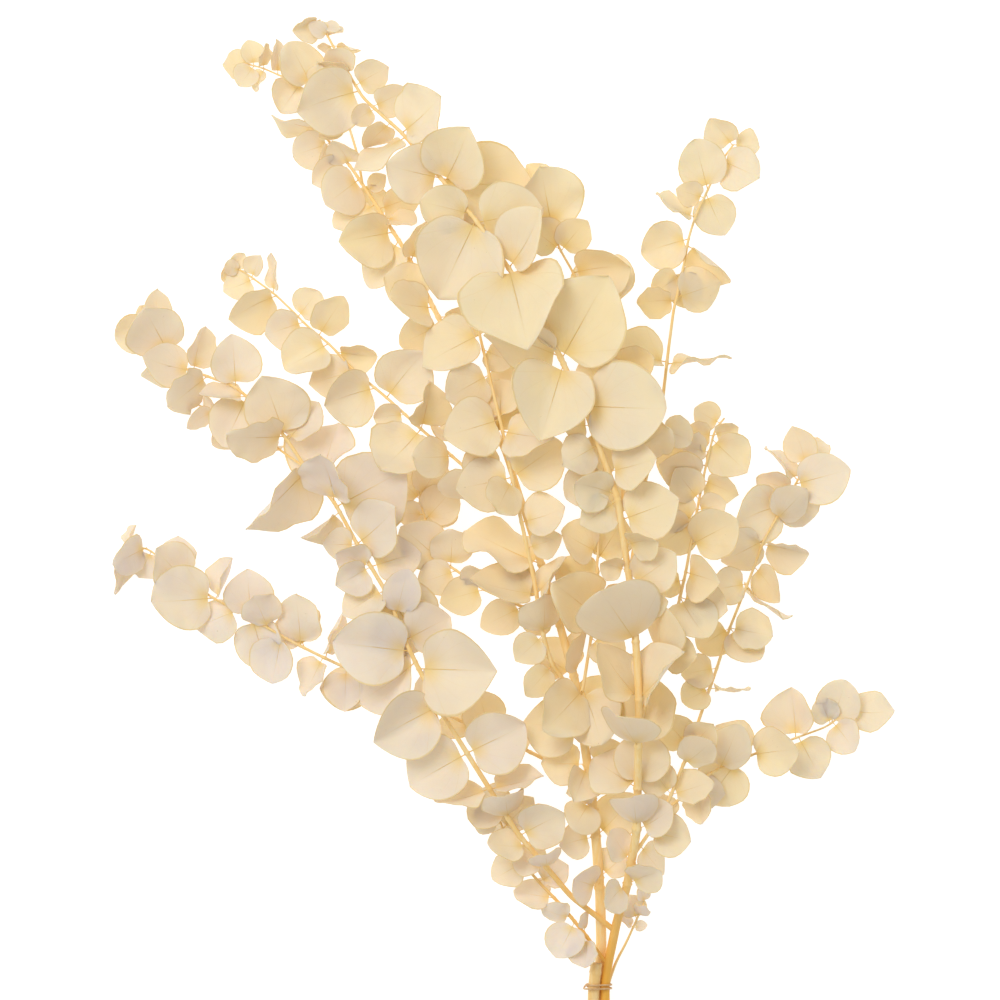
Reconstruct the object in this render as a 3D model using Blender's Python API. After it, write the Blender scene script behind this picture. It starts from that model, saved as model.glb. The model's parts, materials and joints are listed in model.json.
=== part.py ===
"""Bleached eucalyptus bunch: two leafy stems, a thin leafy stem and a bare cut stem in a rubber band.

Lengths are metres. The bunch lies on z = 0 with its cut ends towards -Y, its tips towards +Y and its
showing side up. Every leaf is a thin curved blade rooted in the middle of the stem that carries it.
"""

import math
import random

import bmesh
import bpy
from mathutils import Matrix, Vector, geometry
from mathutils.bvhtree import BVHTree

MM = 0.001

# Plan grid that the stems are drawn on: steps to the right and steps down from its corner
PLAN_STEP = 0.72 * MM
PLAN_MIDDLE_X = 504.5
PLAN_MIDDLE_Y = 529.05

# Leaves
BLADE_THICK = 0.62 * MM
ROOT_DEPTH = 1.8 * MM
PETIOLE_SHARE = 1.1
PETIOLE_CLEAR = 2.8 * MM
WIDEST_AT = 0.42
BASE_SHARE = 0.56
LOBE_SWEEP = 0.07
TIP_POWER = 0.62
HUB_AT = 0.4
SMALL_LEAF = 32 * MM
SHORTEST_LEAF = 7 * MM
FLOOR_LIFT = 0.35 * MM

# Rim points of a blade: how far along it and on which edge
SMALL_RIM = [(0.26, -1), (0.74, -1), (1, 0), (0.74, 1), (0.26, 1)]
LARGE_RIM = [(0.17, -1), (0.48, -1), (0.82, -1), (1, 0), (0.82, 1), (0.48, 1), (0.17, 1)]

# How much leaves differ, as shares of their length or width, and the twist in radians
WIDTHS = (0.88, 1.06)
BOWS = (-0.10, 0.30)
CUPS = (-0.10, 0.22)
FOLDS = [0.0, 0.0, 0.10, 0.30]
WAVES = (0.0, 0.07)
WAVE_COUNT = 1.5
WAVE_SKEW = 1.5
TWISTS = (-0.5, 0.5)

# How leaves sit on a stem, angles in degrees
PAIR_SPACING = 0.8
SPACING_LOOSE = (0.9, 1.1)
PAIR_TURN = 90
TURN_LOOSE = 18
SPREADS = (52, 82)
LIE_FORWARD = 0.62
ROLL_LOOSE = 25
LENGTH_LOOSE = (0.86, 1.08)
FLATNESS = 0.5
FACE_UP = 0.62
FULLEST_AT = 0.4
SHRINK_POWER = 1.5
KEY_FULLNESS = 1.08
KEY_LIFTS = (-14, 10)
KEY_SEED = 100
RULE_SEED = 300

# How leaves keep clear of each other
NEAR_SHARE = 0.36
PAIR_MOST = 2
CROWD_LIMIT = 2
LEAF_CLEAR = 0.24 * MM
GUARD_SCALE = 1.03
GUARD_FOOT = 0.03

# Stems
TAPER_POWER = 0.8
STEM_CLEAR = 0.45 * MM
MAIN_SIDES = 6
SIDE_SIDES = 4

# Bare cut stem beside the leafy ones
STUB_ROUTE = [(592.6, 1042, 12.9), (594.6, 990, 15.1), (597, 966, 17.6)]
STUB_RADIUS = 4.2 * MM
STUB_RING_RADIUS = 4.7 * MM
STUB_RING_AT = 0.88
STUB_RING_FOOT = 0.99
STUB_RING_LONG = 2.4 * MM
STUB_SIDES = 8

# Rubber band, two turns round the stems
BAND_Y = 990
BAND_CORD = 0.8 * MM
BAND_GAP = 0.5 * MM
BAND_TURNS = 2
BAND_STEPS = 26
BAND_PITCH = 2.6 * MM
BAND_CROSS_STEEP = 4.0
BAND_HOP = 2.1 * MM
BAND_HOP_AT = 0.75
BAND_HOP_SPREAD = 0.12
BAND_SIDES = 4
BAND_CORNERS = 24

LEAF_COLOUR = (0.86, 0.74, 0.53, 1.0)
STEM_COLOUR = (0.80, 0.53, 0.24, 1.0)
BAND_COLOUR = (0.70, 0.45, 0.20, 1.0)


class Branch:
    """A stem or side stem: its route on the plan grid with heights in mm, and the rule for its leaves."""

    def __init__(self, tree, parent, route, thick, leafy, turn, key=(), sides=SIDE_SIDES):
        self.tree = tree
        self.parent = parent
        self.route = route
        self.thick = thick
        self.leafy = leafy
        self.turn = turn
        self.key = key
        self.sides = sides


# Each route point is (steps right, steps down, height in mm). thick is the diameter at the foot and at the
# tip in mm. leafy is where leaves start along the stem, then the first, fullest and last leaf in mm. turn
# is the first pair's angle round the stem. A key leaf is (foot, foot, tip, tip, roll in degrees).
BRANCHES = {
    "right main": Branch(
        "right", None,
        [(605.8, 1040, 10), (605.8, 990, 12.2), (609, 965, 15), (616, 930, 22), (628, 885, 34),
         (637, 830, 52), (638, 760, 68), (638, 688, 84), (633, 610, 93), (617, 499, 99), (585, 410, 101),
         (537, 312, 94), (476, 221, 78), (402, 132, 44), (362, 96, 28), (332, 43, 14), (318, 16, 8)],
        (7.0, 1.4), (0.16, 33, 66, 16), 20,
        key=[(318, 16, 292, 27, 45), (332, 43, 317, 45, 60), (332, 43, 358, 42, 60),
             (348, 75, 318, 62, 50), (360, 88, 296, 100, 30), (352, 85, 384, 64, 20),
             (372, 105, 405, 90, 30), (375, 107, 353, 119, 20), (405, 137, 356, 165, 78),
             (405, 137, 430, 128, 70), (402, 132, 453, 110, 25), (441, 178, 388, 166, 10),
             (442, 178, 524, 188, 5), (476, 221, 441, 294, 8), (480, 222, 539, 212, 20),
             (508, 270, 555, 226, 30), (508, 270, 532, 361, 0), (562, 360, 606, 284, 8),
             (561, 366, 540, 440, 0), (530, 372, 488, 340, 20), (589, 404, 661, 410, 0),
             (587, 430, 618, 501, 0), (637, 788, 642, 734, 5), (637, 830, 672, 812, 20),
             (628, 885, 662, 862, 20), (628, 885, 600, 905, 20), (620, 520, 674, 500, 10),
             (630, 585, 672, 556, 10), (598, 445, 560, 462, 10), (390, 122, 368, 150, 20),
             (615, 495, 575, 480, 10), (633, 605, 664, 598, 20), (592, 425, 565, 428, 15),
             (628, 570, 602, 562, 20), (612, 470, 654, 462, 15), (633, 598, 600, 597, 15),
             (604, 470, 566, 492, 20), (617, 500, 582, 522, 15), (472, 214, 424, 203, 15),
             (424, 156, 462, 146, 20), (625, 545, 655, 528, 20), (446, 182, 482, 134, 25),
             (321, 23, 338, 25, 40)],
        sides=MAIN_SIDES),
    "left front": Branch(
        "right", "right main",
        [(615, 933, 22), (594, 916, 24), (571, 898, 30), (517, 833, 44), (480, 774, 54), (438, 707, 60),
         (410, 651, 60), (385, 590, 57), (357, 544, 53), (334, 502, 48), (307, 470, 44), (284, 436, 40),
         (259, 408, 34), (234, 386, 30), (207, 376, 24), (175, 365, 18), (145, 320, 9)],
        (4.2, 1.5), (0.12, 26, 50, 20), 65,
        key=[(307, 470, 251, 528, 50), (145, 321, 137, 305, 30), (147, 328, 115, 338, 5),
             (150, 330, 150, 290, 45), (165, 352, 151, 298, 30), (191, 367, 140, 364, 10),
             (180, 369, 143, 388, 50), (192, 370, 198, 328, 50), (207, 376, 207, 337, 40),
             (235, 386, 232, 337, 5), (205, 378, 164, 400, 62), (245, 396, 203, 388, 60),
             (245, 397, 225, 443, 20), (284, 436, 228, 418, 40), (284, 436, 262, 378, 10),
             (288, 440, 308, 400, 40), (318, 484, 312, 417, 40), (334, 502, 345, 443, 30),
             (334, 508, 403, 470, 20), (340, 512, 304, 538, 60), (357, 544, 402, 512, 15),
             (372, 566, 418, 552, 10), (372, 566, 338, 552, 10), (385, 590, 345, 612, 40),
             (385, 589, 425, 645, 5), (410, 651, 339, 642, 5), (415, 662, 352, 690, 30),
             (420, 668, 493, 670, 0), (437, 707, 377, 737, 0), (467, 753, 521, 727, 0),
             (466, 754, 413, 784, 10), (490, 788, 440, 802, 68), (492, 788, 540, 778, 60),
             (520, 836, 561, 813, 10), (372, 566, 338, 585, 20), (357, 544, 325, 545, 15),
             (405, 640, 448, 618, 20)],
        sides=5),
    "left front fork": Branch(
        "right", "left front",
        [(305, 468, 44), (282, 452, 30), (262, 435, 22), (240, 420, 16), (205, 408, 10), (185, 400, 7)],
        (1.8, 1.0), (0.25, 24, 26, 14), 30,
        key=[(212, 410, 182, 416, 50), (240, 420, 212, 442, 20)]),
    "low front": Branch(
        "right", "right main",
        [(609, 968, 15), (600, 957, 18), (588, 940, 20), (564, 910, 22), (540, 885, 25), (516, 857, 29),
         (506, 838, 31), (497, 815, 33)],
        (3.0, 1.3), (0.22, 18, 32, 18), 40,
        key=[(522, 864, 495, 881, 20), (508, 842, 490, 824, 30), (538, 884, 566, 868, 25),
             (575, 924, 560, 958, 15), (587, 939, 590, 968, 30), (503, 830, 532, 800, 20)]),
    "right high": Branch(
        "right", "right main",
        [(633, 858, 44), (665, 810, 49), (685, 761, 52), (702, 711, 53), (716, 671, 52), (730, 628, 49),
         (748, 584, 44), (765, 540, 38), (785, 505, 31), (805, 470, 20), (815, 450, 14)],
        (2.8, 1.3), (0.10, 26, 42, 26), 75,
        key=[(808, 465, 800, 428, 20), (797, 484, 848, 470, 0), (795, 488, 803, 527, 0),
             (793, 490, 760, 480, 20), (799, 480, 778, 441, 45), (785, 505, 735, 518, 10),
             (765, 540, 726, 562, 5), (764, 545, 807, 551, 65), (755, 567, 783, 597, 40),
             (748, 584, 794, 606, 50), (730, 628, 757, 660, 10), (730, 628, 700, 650, 10),
             (709, 688, 684, 702, 20), (709, 688, 748, 691, 72), (716, 668, 684, 676, 20),
             (690, 748, 663, 716, 15), (690, 748, 716, 722, 5), (650, 833, 688, 840, 10),
             (642, 847, 668, 878, 10), (748, 588, 796, 612, 40), (748, 584, 712, 590, 10),
             (770, 530, 792, 590, 60), (752, 576, 762, 614, 25), (730, 628, 770, 636, 30),
             (768, 538, 776, 572, 30)]),
    "right low": Branch(
        "right", "right high",
        [(662, 815, 46), (710, 774, 38), (753, 756, 30), (790, 742, 22), (830, 728, 14), (850, 712, 9)],
        (2.4, 1.1), (0.18, 32, 40, 26), 10,
        key=[(738, 763, 709, 804, 5), (697, 788, 706, 820, 40), (753, 757, 799, 748, 0),
             (753, 757, 717, 733, 10), (797, 738, 795, 692, 30), (800, 738, 821, 776, 10),
             (835, 727, 848, 685, 0), (836, 725, 858, 750, 20), (850, 712, 893, 716, 20),
             (834, 727, 822, 700, 10), (848, 715, 878, 740, 20), (843, 719, 878, 736, 35)]),
    "right middle": Branch(
        "right", "right main",
        [(640, 720, 76), (650, 690, 77), (661, 651, 76), (677, 608, 73), (686, 568, 69), (695, 520, 62),
         (705, 470, 52), (715, 430, 42), (725, 418, 38)],
        (2.8, 1.3), (0.10, 33, 48, 30), 15,
        key=[(722, 424, 697, 410, 10), (715, 440, 745, 470, 10), (708, 452, 683, 446, 30),
             (703, 480, 736, 494, 40), (700, 500, 676, 472, 10), (690, 545, 735, 520, 10),
             (695, 520, 660, 545, 5), (680, 597, 722, 612, 10), (695, 520, 655, 500, 15),
             (662, 648, 695, 655, 20), (703, 478, 664, 462, 10), (697, 510, 724, 504, 15),
             (705, 465, 652, 460, 10), (685, 572, 728, 576, 15), (712, 435, 736, 426, 20),
             (680, 597, 700, 640, 15), (684, 580, 656, 586, 15), (714, 436, 688, 432, 20)]),
    "right top": Branch(
        "right", "right main",
        [(628, 580, 93), (640, 500, 85), (660, 420, 70), (667, 360, 58), (674, 310, 48), (682, 275, 40),
         (690, 235, 32), (697, 213, 28), (709, 188, 22), (722, 160, 16), (735, 142, 12)],
        (3.0, 1.2), (0.63, 34, 44, 26), 0,
        key=[(733, 142, 714, 116, 15), (735, 142, 759, 145, 40), (723, 158, 762, 174, 10),
             (709, 188, 696, 141, 0), (707, 192, 724, 231, 10), (697, 216, 656, 203, 68),
             (690, 238, 645, 250, 5), (684, 268, 689, 306, 0), (688, 245, 733, 268, 68),
             (676, 300, 640, 300, 45), (666, 362, 612, 352, 50), (666, 364, 728, 358, 70),
             (705, 196, 680, 184, 30),
             (682, 275, 652, 292, 10), (658, 428, 690, 440, 10)]),
    "upper middle": Branch(
        "right", "right main",
        [(622, 520, 98), (625, 450, 88), (617, 390, 80), (601, 337, 73), (573, 273, 64), (560, 250, 60),
         (550, 222, 53), (545, 182, 44)],
        (2.6, 1.3), (0.18, 42, 54, 30), 50,
        key=[(573, 273, 626, 262, 10), (560, 252, 583, 222, 20), (552, 226, 548, 165, 20),
             (548, 210, 516, 170, 40), (560, 250, 530, 228, 20), (612, 372, 652, 358, 15),
             (546, 190, 530, 165, 20)]),
    "left main": Branch(
        "left", None,
        [(596.5, 1045, 4.2), (597.6, 990, 6.5), (602, 961, 8.5), (601, 900, 20), (596, 833, 30),
         (588, 765, 38), (575, 680, 48), (553, 601, 53), (505, 450, 57), (470, 385, 56), (444, 329, 52),
         (402, 245, 40), (375, 203, 30), (350, 165, 22), (312, 120, 9)],
        (8.2, 1.5), (0.20, 33, 58, 26), 45,
        key=[(441, 325, 402, 342, 20), (430, 300, 386, 278, 10), (410, 262, 430, 207, 50),
             (436, 318, 378, 338, 68), (436, 318, 488, 315, 68), (375, 203, 336, 228, 40),
             (385, 216, 412, 233, 55), (398, 240, 371, 284, 15), (356, 172, 324, 129, 5),
             (329, 141, 314, 162, 50), (318, 127, 272, 118, 70), (312, 120, 289, 146, 20),
             (345, 160, 313, 180, 15), (358, 178, 315, 205, 10), (360, 182, 374, 216, 30),
             (588, 765, 568, 800, 15), (592, 800, 575, 834, 10), (597, 838, 632, 800, 10),
             (584, 735, 528, 722, 10), (588, 765, 545, 762, 15), (600, 890, 568, 870, 15),
             (378, 208, 420, 204, 45), (597, 838, 562, 845, 10), (600, 880, 622, 855, 20),
             (588, 765, 618, 745, 10), (365, 190, 386, 178, 20), (329, 141, 294, 152, 20),
             (436, 318, 380, 318, 40), (392, 232, 338, 236, 35), (350, 163, 342, 132, 20),
             (380, 212, 412, 228, 20), (436, 306, 380, 314, 15), (443, 324, 466, 296, 20),
             (560, 625, 520, 608, 20), (390, 222, 424, 214, 15), (543, 572, 505, 585, 20)],
        sides=MAIN_SIDES),
    "left inner": Branch(
        "left", "left main",
        [(579, 700, 47), (552, 665, 60), (543, 635, 66), (534, 580, 72), (518, 507, 77), (500, 420, 76),
         (486, 361, 73), (470, 294, 67), (447, 262, 60), (440, 225, 54)],
        (3.4, 1.4), (0.16, 40, 60, 38), 80,
        key=[(514, 477, 558, 445, 5), (514, 477, 460, 490, 5), (500, 420, 447, 436, 10),
             (490, 375, 450, 398, 15), (552, 665, 527, 694, 15), (543, 635, 518, 660, 10),
             (500, 420, 494, 376, 15), (500, 432, 556, 452, 15), (514, 480, 488, 514, 15),
             (522, 522, 562, 512, 20), (480, 335, 425, 362, 20), (527, 548, 560, 538, 15),
             (484, 350, 510, 368, 20)]),
    "left high": Branch(
        "left", "left inner",
        [(518, 512, 76), (500, 497, 74), (460, 463, 66), (421, 429, 57), (386, 397, 48), (350, 367, 39),
         (329, 344, 34), (307, 326, 29), (275, 294, 21), (243, 271, 13), (225, 262, 9)],
        (2.5, 1.1), (0.12, 34, 40, 12), 10,
        key=[(225, 262, 222, 279, 50), (231, 264, 242, 253, 20), (250, 276, 259, 255, 30),
             (252, 277, 224, 289, 20), (272, 292, 274, 254, 66), (276, 294, 229, 312, 52),
             (297, 316, 317, 291, 30), (302, 322, 267, 332, 30), (318, 335, 341, 298, 30),
             (328, 343, 287, 367, 10), (335, 352, 374, 357, 40), (375, 388, 326, 400, 10),
             (387, 397, 421, 354, 10), (421, 429, 428, 384, 40), (421, 429, 390, 475, 30),
             (405, 415, 376, 418, 20), (386, 397, 364, 430, 25)]),
    "left low": Branch(
        "left", "left main",
        [(592, 795, 35), (575, 778, 31), (546, 761, 27), (517, 747, 25), (450, 717, 22), (400, 695, 21),
         (328, 661, 20), (282, 638, 19), (250, 619, 17), (211, 599, 14), (178, 575, 11), (144, 548, 8),
         (120, 547, 6)],
        (3.0, 1.2), (0.14, 26, 36, 24), 60,
        key=[(124, 547, 135, 528, 60), (122, 547, 107, 590, 62), (144, 548, 106, 564, 5),
             (187, 582, 149, 553, 5), (211, 598, 149, 602, 5), (213, 600, 236, 565, 62),
             (249, 618, 246, 573, 5), (250, 620, 262, 670, 10), (300, 646, 296, 597, 20),
             (280, 636, 273, 681, 45), (325, 658, 337, 613, 62), (322, 658, 304, 695, 40),
             (345, 670, 344, 711, 15), (490, 735, 478, 692, 15), (150, 550, 138, 580, 20)]),
    "left back": Branch(
        "left", "left main",
        [(555, 621, 52), (534, 612, 46), (484, 590, 38), (440, 560, 32), (425, 520, 28), (415, 480, 25)],
        (2.6, 1.2), (0.18, 34, 42, 30), 20,
        key=[(484, 590, 443, 600, 10), (440, 560, 400, 530, 10), (425, 520, 452, 490, 10),
             (420, 500, 396, 470, 20), (450, 568, 455, 528, 10), (455, 572, 418, 582, 10),
             (423, 515, 396, 512, 10), (484, 590, 476, 558, 20)]),
    "left centre": Branch(
        "left", "left main",
        [(580, 699, 47), (583, 690, 49), (591, 638, 58), (595, 600, 63), (598, 546, 64), (600, 500, 60)],
        (2.6, 1.3), (0.24, 38, 50, 34), 70,
        key=[(583, 690, 545, 735, 5), (583, 690, 604, 742, 5), (596, 590, 560, 565, 10),
             (597, 560, 620, 520, 10), (597, 552, 560, 535, 10), (591, 638, 622, 660, 20)]),
    "top left": Branch(
        "left", "left main",
        [(362, 183, 27), (356, 150, 30), (345, 115, 26), (311, 83, 18), (282, 74, 12), (262, 65, 9),
         (240, 59, 6)],
        (1.9, 1.0), (0.30, 28, 34, 20), 25,
        key=[(311, 83, 289, 42, 10), (248, 61, 219, 62, 5), (262, 65, 262, 41, 48),
             (262, 66, 254, 87, 48), (276, 72, 275, 38, 40), (330, 102, 306, 112, 50),
             (315, 86, 330, 60, 20), (300, 80, 280, 108, 10), (252, 62, 246, 38, 25),
             (252, 63, 238, 82, 25)]),
    "thin leafy": Branch(
        "thin", None,
        [(608.2, 1036, 4.4), (608.4, 990, 6.6), (617, 965, 9), (626, 948, 12), (638, 921, 17),
         (645, 905, 20)],
        (2.8, 1.2), (0.80, 12, 14, 10), 0,
        key=[(637, 922, 631, 899, 20), (645, 905, 640, 888, 30)],
        sides=5),
}
TREE_NAMES = {"right": "right_leafy_stem", "left": "left_leafy_stem", "thin": "thin_leafy_stem"}


def on_plan(x, y, height):
    """Point in metres over a plan grid point at a height in mm."""
    return Vector(((x - PLAN_MIDDLE_X) * PLAN_STEP, (PLAN_MIDDLE_Y - y) * PLAN_STEP, height * MM))


class Stem:
    """The grown line of a branch: points along its middle and a radius at each."""

    def __init__(self, branch, parent):
        points = [on_plan(*p) for p in branch.route]
        if parent:
            points[0] = parent.at(parent.nearest(points[0]))[0]
        self.points = points
        self.reach = [0.0]
        for a, b in zip(self.points, self.points[1:]):
            self.reach.append(self.reach[-1] + (b - a).length)
        self.length = self.reach[-1]
        foot, tip = (d / 2 * MM for d in branch.thick)
        self.radii = [tip + (foot - tip) * (1 - s / self.length) ** TAPER_POWER for s in self.reach]

    def nearest(self, point):
        """Distance along the stem of the place that lies nearest to a point in plan."""
        best = (1e9, 0.0)
        for i, (a, b) in enumerate(zip(self.points, self.points[1:])):
            span = (b - a).xy
            t = max(0.0, min(1.0, (point - a).xy.dot(span) / max(span.length_squared, 1e-12)))
            gap = (point.xy - (a.xy + span * t)).length
            best = min(best, (gap, self.reach[i] + t * (b - a).length))
        return best[1]

    def at(self, distance):
        """Middle, direction and radius at a distance along the stem."""
        for i, (a, b) in enumerate(zip(self.points, self.points[1:])):
            if distance <= self.reach[i + 1] or i == len(self.points) - 2:
                t = (distance - self.reach[i]) / max((b - a).length, 1e-9)
                return a.lerp(b, t), (b - a).normalized(), self.radii[i] * (1 - t) + self.radii[i + 1] * t


def tube(points, radii, sides, closed=False):
    """Round rod along the points as a welded mesh."""
    curve = bpy.data.curves.new("rod", "CURVE")
    curve.dimensions = "3D"
    curve.bevel_depth = 1.0
    curve.bevel_resolution = max(0, (sides - 4) // 2)
    curve.use_fill_caps = not closed
    spline = curve.splines.new("POLY")
    spline.points.add(len(points) - 1)
    spline.use_cyclic_u = closed
    for slot, point, radius in zip(spline.points, points, radii):
        slot.co = (*point, 1.0)
        slot.radius = radius
    holder = bpy.data.objects.new("rod", curve)
    mesh = bpy.data.meshes.new_from_object(holder)
    bpy.data.objects.remove(holder)
    bm = bmesh.new()
    bm.from_mesh(mesh)
    bmesh.ops.remove_doubles(bm, verts=bm.verts, dist=0.001 * MM)
    bmesh.ops.recalc_face_normals(bm, faces=bm.faces)
    bpy.data.meshes.remove(mesh)
    return bm


def half_width(u):
    """Half of the blade's width along its midrib, as a share of the widest half."""
    if u < WIDEST_AT:
        return BASE_SHARE + (1 - BASE_SHARE) * math.sin(math.pi / 2 * u / WIDEST_AT)
    t = (u - WIDEST_AT) / (1 - WIDEST_AT)
    return max(0.0, 1 - t * t) ** TIP_POWER


class Leaf:
    """One blade: where its root is, which way it points and faces, and how it is curved."""

    def __init__(self, root, along, face, radius, length, rng):
        self.root = root
        self.sunk = max(0.0, radius - ROOT_DEPTH)
        self.petiole = PETIOLE_SHARE * radius + PETIOLE_CLEAR * min(1.0, length / SMALL_LEAF)
        self.along = along.normalized()
        self.face = (face - face.dot(self.along) * self.along).normalized()
        self.length = max(length - self.petiole, SHORTEST_LEAF)
        self.width = length * rng.uniform(*WIDTHS)
        self.bow = rng.uniform(*BOWS)
        self.cup = rng.uniform(*CUPS)
        self.fold = rng.choice(FOLDS)
        self.wave = rng.uniform(*WAVES)
        self.phase = rng.uniform(0, 2 * math.pi)
        self.twist = rng.uniform(*TWISTS)

    def turned(self, lift, roll, scale):
        """The same leaf lifted towards its face, rolled about its midrib and scaled."""
        other = Leaf.__new__(Leaf)
        other.__dict__.update(self.__dict__)
        side = self.along.cross(self.face)
        tip_up = Matrix.Rotation(-lift, 3, side)
        other.along = tip_up @ self.along
        other.face = Matrix.Rotation(roll, 3, other.along) @ (tip_up @ self.face)
        other.length = self.length * scale
        other.width = self.width * scale
        return other

    def surface(self, u, v):
        """Point on the blade: u runs from foot to tip, v from edge to edge."""
        half = half_width(u) * self.width / 2
        x = self.petiole + self.length * (u - LOBE_SWEEP * (1 - u) ** 3 * v * v)
        y = half * v
        z = self.length * self.bow * u * u
        z += self.width * (self.cup * v * v + self.fold * abs(v)) * half_width(u) / 2
        ripple = math.sin(2 * math.pi * WAVE_COUNT * u + self.phase + WAVE_SKEW * v)
        z += self.width * self.wave * v * v * ripple
        turn = self.twist * u
        y, z = y * math.cos(turn) - z * math.sin(turn), y * math.sin(turn) + z * math.cos(turn)
        return self.placed(x, y, z)

    def placed(self, x, y, z):
        """Local point to world, kept above the surface that the bunch lies on."""
        side = self.face.cross(self.along)
        point = self.root + self.along * x + side * y + self.face * z
        point.z = max(point.z, FLOOR_LIFT)
        return point

    def rim(self):
        """Outline points from the root round the blade and back."""
        marks = SMALL_RIM if self.length < SMALL_LEAF else LARGE_RIM
        return [self.surface(u, v) for u, v in marks]

    def guard(self):
        """Search tree of a slightly larger blade, without its root."""
        middle = self.surface(HUB_AT, 0)
        rim = [middle + (p - middle) * GUARD_SCALE for p in self.rim() + [self.surface(GUARD_FOOT, 0)]]
        offset = self.face * (BLADE_THICK / 2 + LEAF_CLEAR)
        verts = [p + offset for p in [middle] + rim] + [p - offset for p in [middle] + rim]
        count = len(rim)
        faces = []
        for k in range(count):
            after = (k + 1) % count
            faces.append((0, 1 + k, 1 + after))
            faces.append((count + 1, count + 2 + k, count + 2 + after))
        low = Vector(min(p[i] for p in verts) for i in range(3))
        high = Vector(max(p[i] for p in verts) for i in range(3))
        return low, high, BVHTree.FromPolygons(verts, faces)


def boxes_meet(a, b):
    return all(a[0][i] <= b[1][i] and b[0][i] <= a[1][i] for i in range(3))


def crowd(leaf, taken):
    """How many blades already lie over the middle of a leaf."""
    x, y, z = leaf.surface(0.5, 0)
    return sum(g[0].x < x < g[1].x and g[0].y < y < g[1].y and z < g[1].z for owner, g in taken if owner)


def meets(guard, others):
    return any(boxes_meet(guard, other) and guard[2].overlap(other[2]) for other in others)


def settled(leaf, partner, taken, swings):
    """The leaf in the first of its swings that is clear of everything placed so far, or None."""
    others = [guard for owner, guard in taken if owner != partner]
    for lift, roll, scale in swings:
        tried = leaf.turned(math.radians(lift), math.radians(roll), scale)
        guard = tried.guard()
        if not meets(guard, others):
            return tried, guard
    return None


KEY_SWINGS = [(lift, roll, scale) for scale in (1.0, 0.9, 0.78)
              for roll in (0, 18, -18, 34, -34) for lift in (0, 10, -10, 20, -20, 32, -32)]
RULE_SWINGS = [(lift, roll, scale) for scale in (1.0, 0.85, 0.7)
               for lift in (0, 14, -14, 28, -28, 40) for roll in (0, 25, -25, 50, -50)]


def key_leaves(stem, branch, rng):
    """Leaves whose foot and tip are given on the plan."""
    for foot_x, foot_y, tip_x, tip_y, roll in branch.key:
        distance = stem.nearest(on_plan(foot_x, foot_y, 0))
        root, _, radius = stem.at(distance)
        along = on_plan(tip_x, tip_y, 0) - root
        along.z = 0.0
        leaf = Leaf(root, along, Vector((0, 0, 1)), radius, along.length * KEY_FULLNESS, rng)
        sign = rng.choice([-1, 1])
        lift = math.radians(rng.uniform(*KEY_LIFTS))
        yield distance, leaf.turned(lift, math.radians(sign * roll), 1.0)


def leaf_length(branch, share):
    """Length of the leaves at a share of the way from the first pair to the tip."""
    _, first, full, last = branch.leafy
    if share < FULLEST_AT:
        return (first + (full - first) * math.sin(math.pi / 2 * share / FULLEST_AT)) * MM
    return (full + (last - full) * ((share - FULLEST_AT) / (1 - FULLEST_AT)) ** SHRINK_POWER) * MM


def pair_leaves(stem, branch, distance, step, length, rng):
    """A pair of leaves on opposite sides of the stem, each pair a quarter turn on from the last."""
    root, forward, radius = stem.at(distance)
    side = forward.cross(Vector((0, 0, 1))).normalized()
    above = side.cross(forward)
    turn = math.radians(branch.turn + PAIR_TURN * step + rng.uniform(-TURN_LOOSE, TURN_LOOSE))
    for sign in (1, -1):
        out = sign * (math.cos(turn) * side + math.sin(turn) * FLATNESS * above)
        spread = math.radians(rng.uniform(*SPREADS)) * (1 - LIE_FORWARD * abs(math.sin(turn)))
        along = math.cos(spread) * forward + math.sin(spread) * out.normalized()
        tipward = forward - forward.dot(along) * along
        upward = Vector((0, 0, 1)) - along.z * along
        if upward.dot(tipward) < 0:
            upward.negate()
        face = tipward.normalized() * (1 - FACE_UP) + upward.normalized() * FACE_UP
        leaf = Leaf(root, along, face, radius, length * rng.uniform(*LENGTH_LOOSE), rng)
        yield leaf.turned(0, math.radians(rng.uniform(-ROLL_LOOSE, ROLL_LOOSE)), 1.0)


def stem_guard(stem, sides):
    """Search tree of a slightly thicker stem."""
    rod = tube(stem.points, [r + STEM_CLEAR for r in stem.radii], sides)
    low = Vector(min(v.co[i] for v in rod.verts) for i in range(3))
    high = Vector(max(v.co[i] for v in rod.verts) for i in range(3))
    tree = BVHTree.FromBMesh(rod)
    rod.free()
    return low, high, tree


def grow_by_hand(name, stem, order, taken):
    """A stem's key leaves that found a clear place, and how far along they sit."""
    grown = []
    places = []
    for distance, leaf in key_leaves(stem, BRANCHES[name], random.Random(KEY_SEED + order)):
        owner = (name, round(distance, 3))
        found = settled(leaf, owner, taken, KEY_SWINGS)
        if found:
            grown.append(found[0])
            taken.append((owner, found[1]))
            places.append(distance)
    return grown, places


def grow_by_rule(name, stem, order, places, taken):
    """Pairs of leaves along a stem wherever there is room for them."""
    branch = BRANCHES[name]
    rng = random.Random(RULE_SEED + order)
    grown = []
    start = branch.leafy[0] * stem.length
    distance = start
    step = 0
    while distance < stem.length:
        length = leaf_length(branch, (distance - start) / (stem.length - start))
        near = sum(abs(distance - place) < NEAR_SHARE * length for place in places)
        for leaf in pair_leaves(stem, branch, distance, step, length, rng):
            if near >= PAIR_MOST:
                continue
            near += 1
            if crowd(leaf, taken) >= CROWD_LIMIT:
                continue
            found = settled(leaf, (name, step), taken, RULE_SWINGS)
            if found:
                grown.append(found[0])
                taken.append(((name, step), found[1]))
        distance += PAIR_SPACING * length * rng.uniform(*SPACING_LOOSE)
        step += 1
    return grown


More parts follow.
